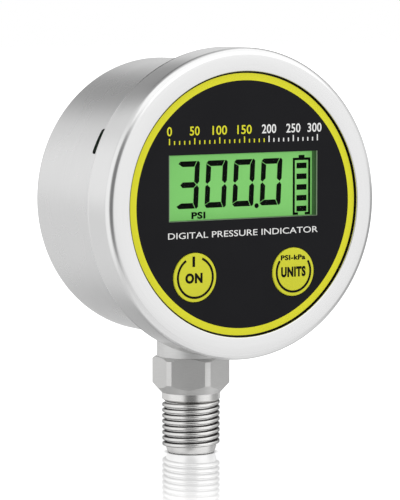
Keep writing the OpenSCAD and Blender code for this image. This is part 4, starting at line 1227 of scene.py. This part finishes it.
# Name, place, watts, width and height
LAMPS = (
    ("left_softbox", (-900, -150, 250), 2.2, 700, 900),
    ("top_softbox", (100, -200, 900), 2.0, 900, 700),
    ("right_softbox", (600, -850, 300), 2.1, 1000, 700),
)


def point_at(thing, aim):
    """Turns a camera or a lamp to look along a direction."""
    thing.rotation_mode = "QUATERNION"
    thing.rotation_quaternion = aim.to_track_quat("-Z", "Y")


def make_camera():
    """The photograph's camera; gives the direction from the dial towards it."""
    data = bpy.data.cameras.new("camera")
    data.sensor_width = SENSOR_W
    data.lens = FOCAL_PX * SENSOR_W / FRAME_LONG_PX
    data.clip_start = CLIP_START * MM
    data.clip_end = CLIP_END * MM
    camera = link(data, "camera")
    back = Vector((
        math.sin(CAMERA_AZIMUTH) * math.cos(CAMERA_ELEVATION),
        -math.cos(CAMERA_AZIMUTH) * math.cos(CAMERA_ELEVATION),
        math.sin(CAMERA_ELEVATION),
    ))
    dial = Vector((DIAL_X, FACE_Y, DIAL_Z)) * MM
    camera.location = dial + back * CAMERA_DISTANCE * MM
    forward = -back
    right = forward.cross(Vector((0, 0, 1))).normalized()
    up = right.cross(forward)
    point_at(camera, forward - right * DIAL_PX_RIGHT / FOCAL_PX - up * DIAL_PX_UP / FOCAL_PX)
    bpy.context.scene.camera = camera
    return back


def direction_mask(tree, direction, towards, start, stop):
    """1 where a direction is near a given one, 0 away from it."""
    nearness = vector_node(tree, "DOT_PRODUCT", direction, Vector(towards).normalized())["Value"]
    return smooth_ramp(tree, nearness, start, stop)


def studio_group(towards_camera):
    """The studio's brightness in a direction: even, with darker parts that metal mirrors."""
    parts = (("Camera Side", towards_camera, *CAMERA_PART),) + STUDIO_PARTS
    inputs = [("Direction", VECTOR, None), ("Even", FLOAT, STUDIO_EVEN)]
    inputs += [(part[0], FLOAT, part[-1]) for part in parts]
    outputs = [("Level", FLOAT)]
    group, given, end = new_tree("studio_level", "ShaderNodeTree", inputs, outputs)
    level = given["Even"]
    for label, towards, start, stop, depth in parts:
        mask = direction_mask(group, given["Direction"], towards, start, stop)
        darker = math_node(group, "MULTIPLY", mask, given[label])
        level = math_node(group, "SUBTRACT", level, darker)
    feed(group, end["Level"], level)
    return group


def studio_light(tree, studio, direction, **changes):
    """The studio's brightness in a direction, with some of its parts changed."""
    inputs = {"Direction": direction, **changes}
    return add_node(tree, "ShaderNodeGroup", inputs, node_tree=studio).outputs["Level"]


def background(tree, strength):
    inputs = {"Color": WHITE, "Strength": strength}
    return add_node(tree, "ShaderNodeBackground", inputs).outputs[0]


def mix_shader(tree, factor, first, second):
    return add_node(tree, "ShaderNodeMixShader", {0: factor, 1: first, 2: second}).outputs[0]


def make_world(studio):
    """White for the camera; a studio with darker parts for gloss, and even light for the rest."""
    world = bpy.data.worlds.new("studio")
    bpy.context.scene.world = world
    world.use_nodes = True
    tree = world.node_tree
    tree.nodes.clear()
    direction = add_node(tree, "ShaderNodeTexCoord").outputs["Generated"]
    path = add_node(tree, "ShaderNodeLightPath").outputs
    mirrored = background(tree, studio_light(tree, studio, direction, Right=0.0))
    light = mix_shader(
        tree, path["Is Glossy Ray"], background(tree, DIFFUSE_LEVEL), mirrored)
    seen = math_node(tree, "MAXIMUM", path["Is Camera Ray"], path["Is Transmission Ray"])
    final = mix_shader(tree, seen, light, background(tree, 1.0))
    add_node(tree, "ShaderNodeOutputWorld", {"Surface": final})


def floor_strength(tree, studio, incoming):
    """How white the floor shines: even for the camera, and as the studio for gloss. It makes
    up for the darker parts of the studio that the floor mirrors to the camera."""
    path = add_node(tree, "ShaderNodeLightPath").outputs
    onwards = vector_node(tree, "SCALE", incoming, scale=-1.0)["Vector"]
    mirrored = vector_node(tree, "MULTIPLY", onwards, (1, 1, -1))["Vector"]
    above = studio_light(tree, studio, mirrored, Right=0.0)
    lost = math_node(tree, "MAXIMUM", math_node(tree, "SUBTRACT", STUDIO_EVEN, above), 0.0)
    made_up = math_node(tree, "MULTIPLY", lost, FLOOR_MIRROR / (1 - FLOOR_MIRROR))
    to_camera = math_node(tree, "ADD", made_up, FLOOR_LEVEL)
    plain = blend_value(tree, path["Is Camera Ray"], 1.0, to_camera)
    in_gloss = studio_light(tree, studio, onwards, Even=FLOOR_IN_GLOSS)
    return blend_value(tree, path["Is Glossy Ray"], plain, in_gloss)


def floor_material(studio):
    """A white floor that keeps the shadow near the stem, mirrors the thread faintly and
    is clear from below."""
    material = bpy.data.materials.new("studio_floor")
    material.use_nodes = True
    tree = material.node_tree
    tree.nodes.clear()
    position = add_node(tree, "ShaderNodeTexCoord").outputs["Object"]
    distance = vector_node(tree, "LENGTH", position)["Value"]
    ray = add_node(tree, "ShaderNodeNewGeometry").outputs
    strength = floor_strength(tree, studio, ray["Incoming"])
    near = add_node(tree, "ShaderNodeBsdfDiffuse", {"Color": FLOOR_COLOUR}).outputs[0]
    white = add_node(tree, "ShaderNodeEmission", {"Strength": strength}).outputs[0]
    mirror = add_node(tree, "ShaderNodeBsdfGlossy", {"Roughness": FLOOR_ROUGH}).outputs[0]
    clear = add_node(tree, "ShaderNodeBsdfTransparent").outputs[0]
    far = smooth_ramp(tree, distance, SHADOW_R * MM, SHADOW_END_R * MM)
    ground = mix_shader(tree, far, near, white)
    shine = smooth_ramp(tree, distance, MIRROR_R * MM, MIRROR_END_R * MM, FLOOR_MIRROR, 0.0)
    top = mix_shader(tree, shine, ground, mirror)
    sided = mix_shader(tree, ray["Backfacing"], top, clear)
    add_node(tree, "ShaderNodeOutputMaterial", {"Surface": sided})
    return material


def make_floor(studio):
    corners = box_loop(-FLOOR_REACH, FLOOR_REACH, -FLOOR_REACH, FLOOR_REACH)
    points = [(x, y, -FLOOR_DROP) for x, y in corners]
    floor = mesh_from("studio_floor", points, [(0, 1, 2, 3)])
    floor.data.materials.append(floor_material(studio))


def make_lamps():
    for name, place, power, width, height in LAMPS:
        data = bpy.data.lights.new(name, "AREA")
        data.shape = "RECTANGLE"
        data.size = width * MM
        data.size_y = height * MM
        data.energy = power
        lamp = link(data, name)
        lamp.location = Vector(place) * MM
        lamp.visible_glossy = False
        point_at(lamp, Vector(LAMP_TARGET) * MM - lamp.location)


bpy.context.scene.view_settings.view_transform = "Standard"
towards_camera = make_camera()
studio = studio_group(towards_camera)
make_world(studio)
make_floor(studio)
make_lamps()
finish_cad_nodes()
make_bezel()
make_case()
make_vent_plug()
make_face()
make_window_rim()
make_ticks()
make_numbers()
make_lettering()
make_button("on", -1, "on_button", "on_key")
make_button("units", 1, "units_button", "units_key")
make_marks()
make_hexagon()
make_neck()
make_thread()
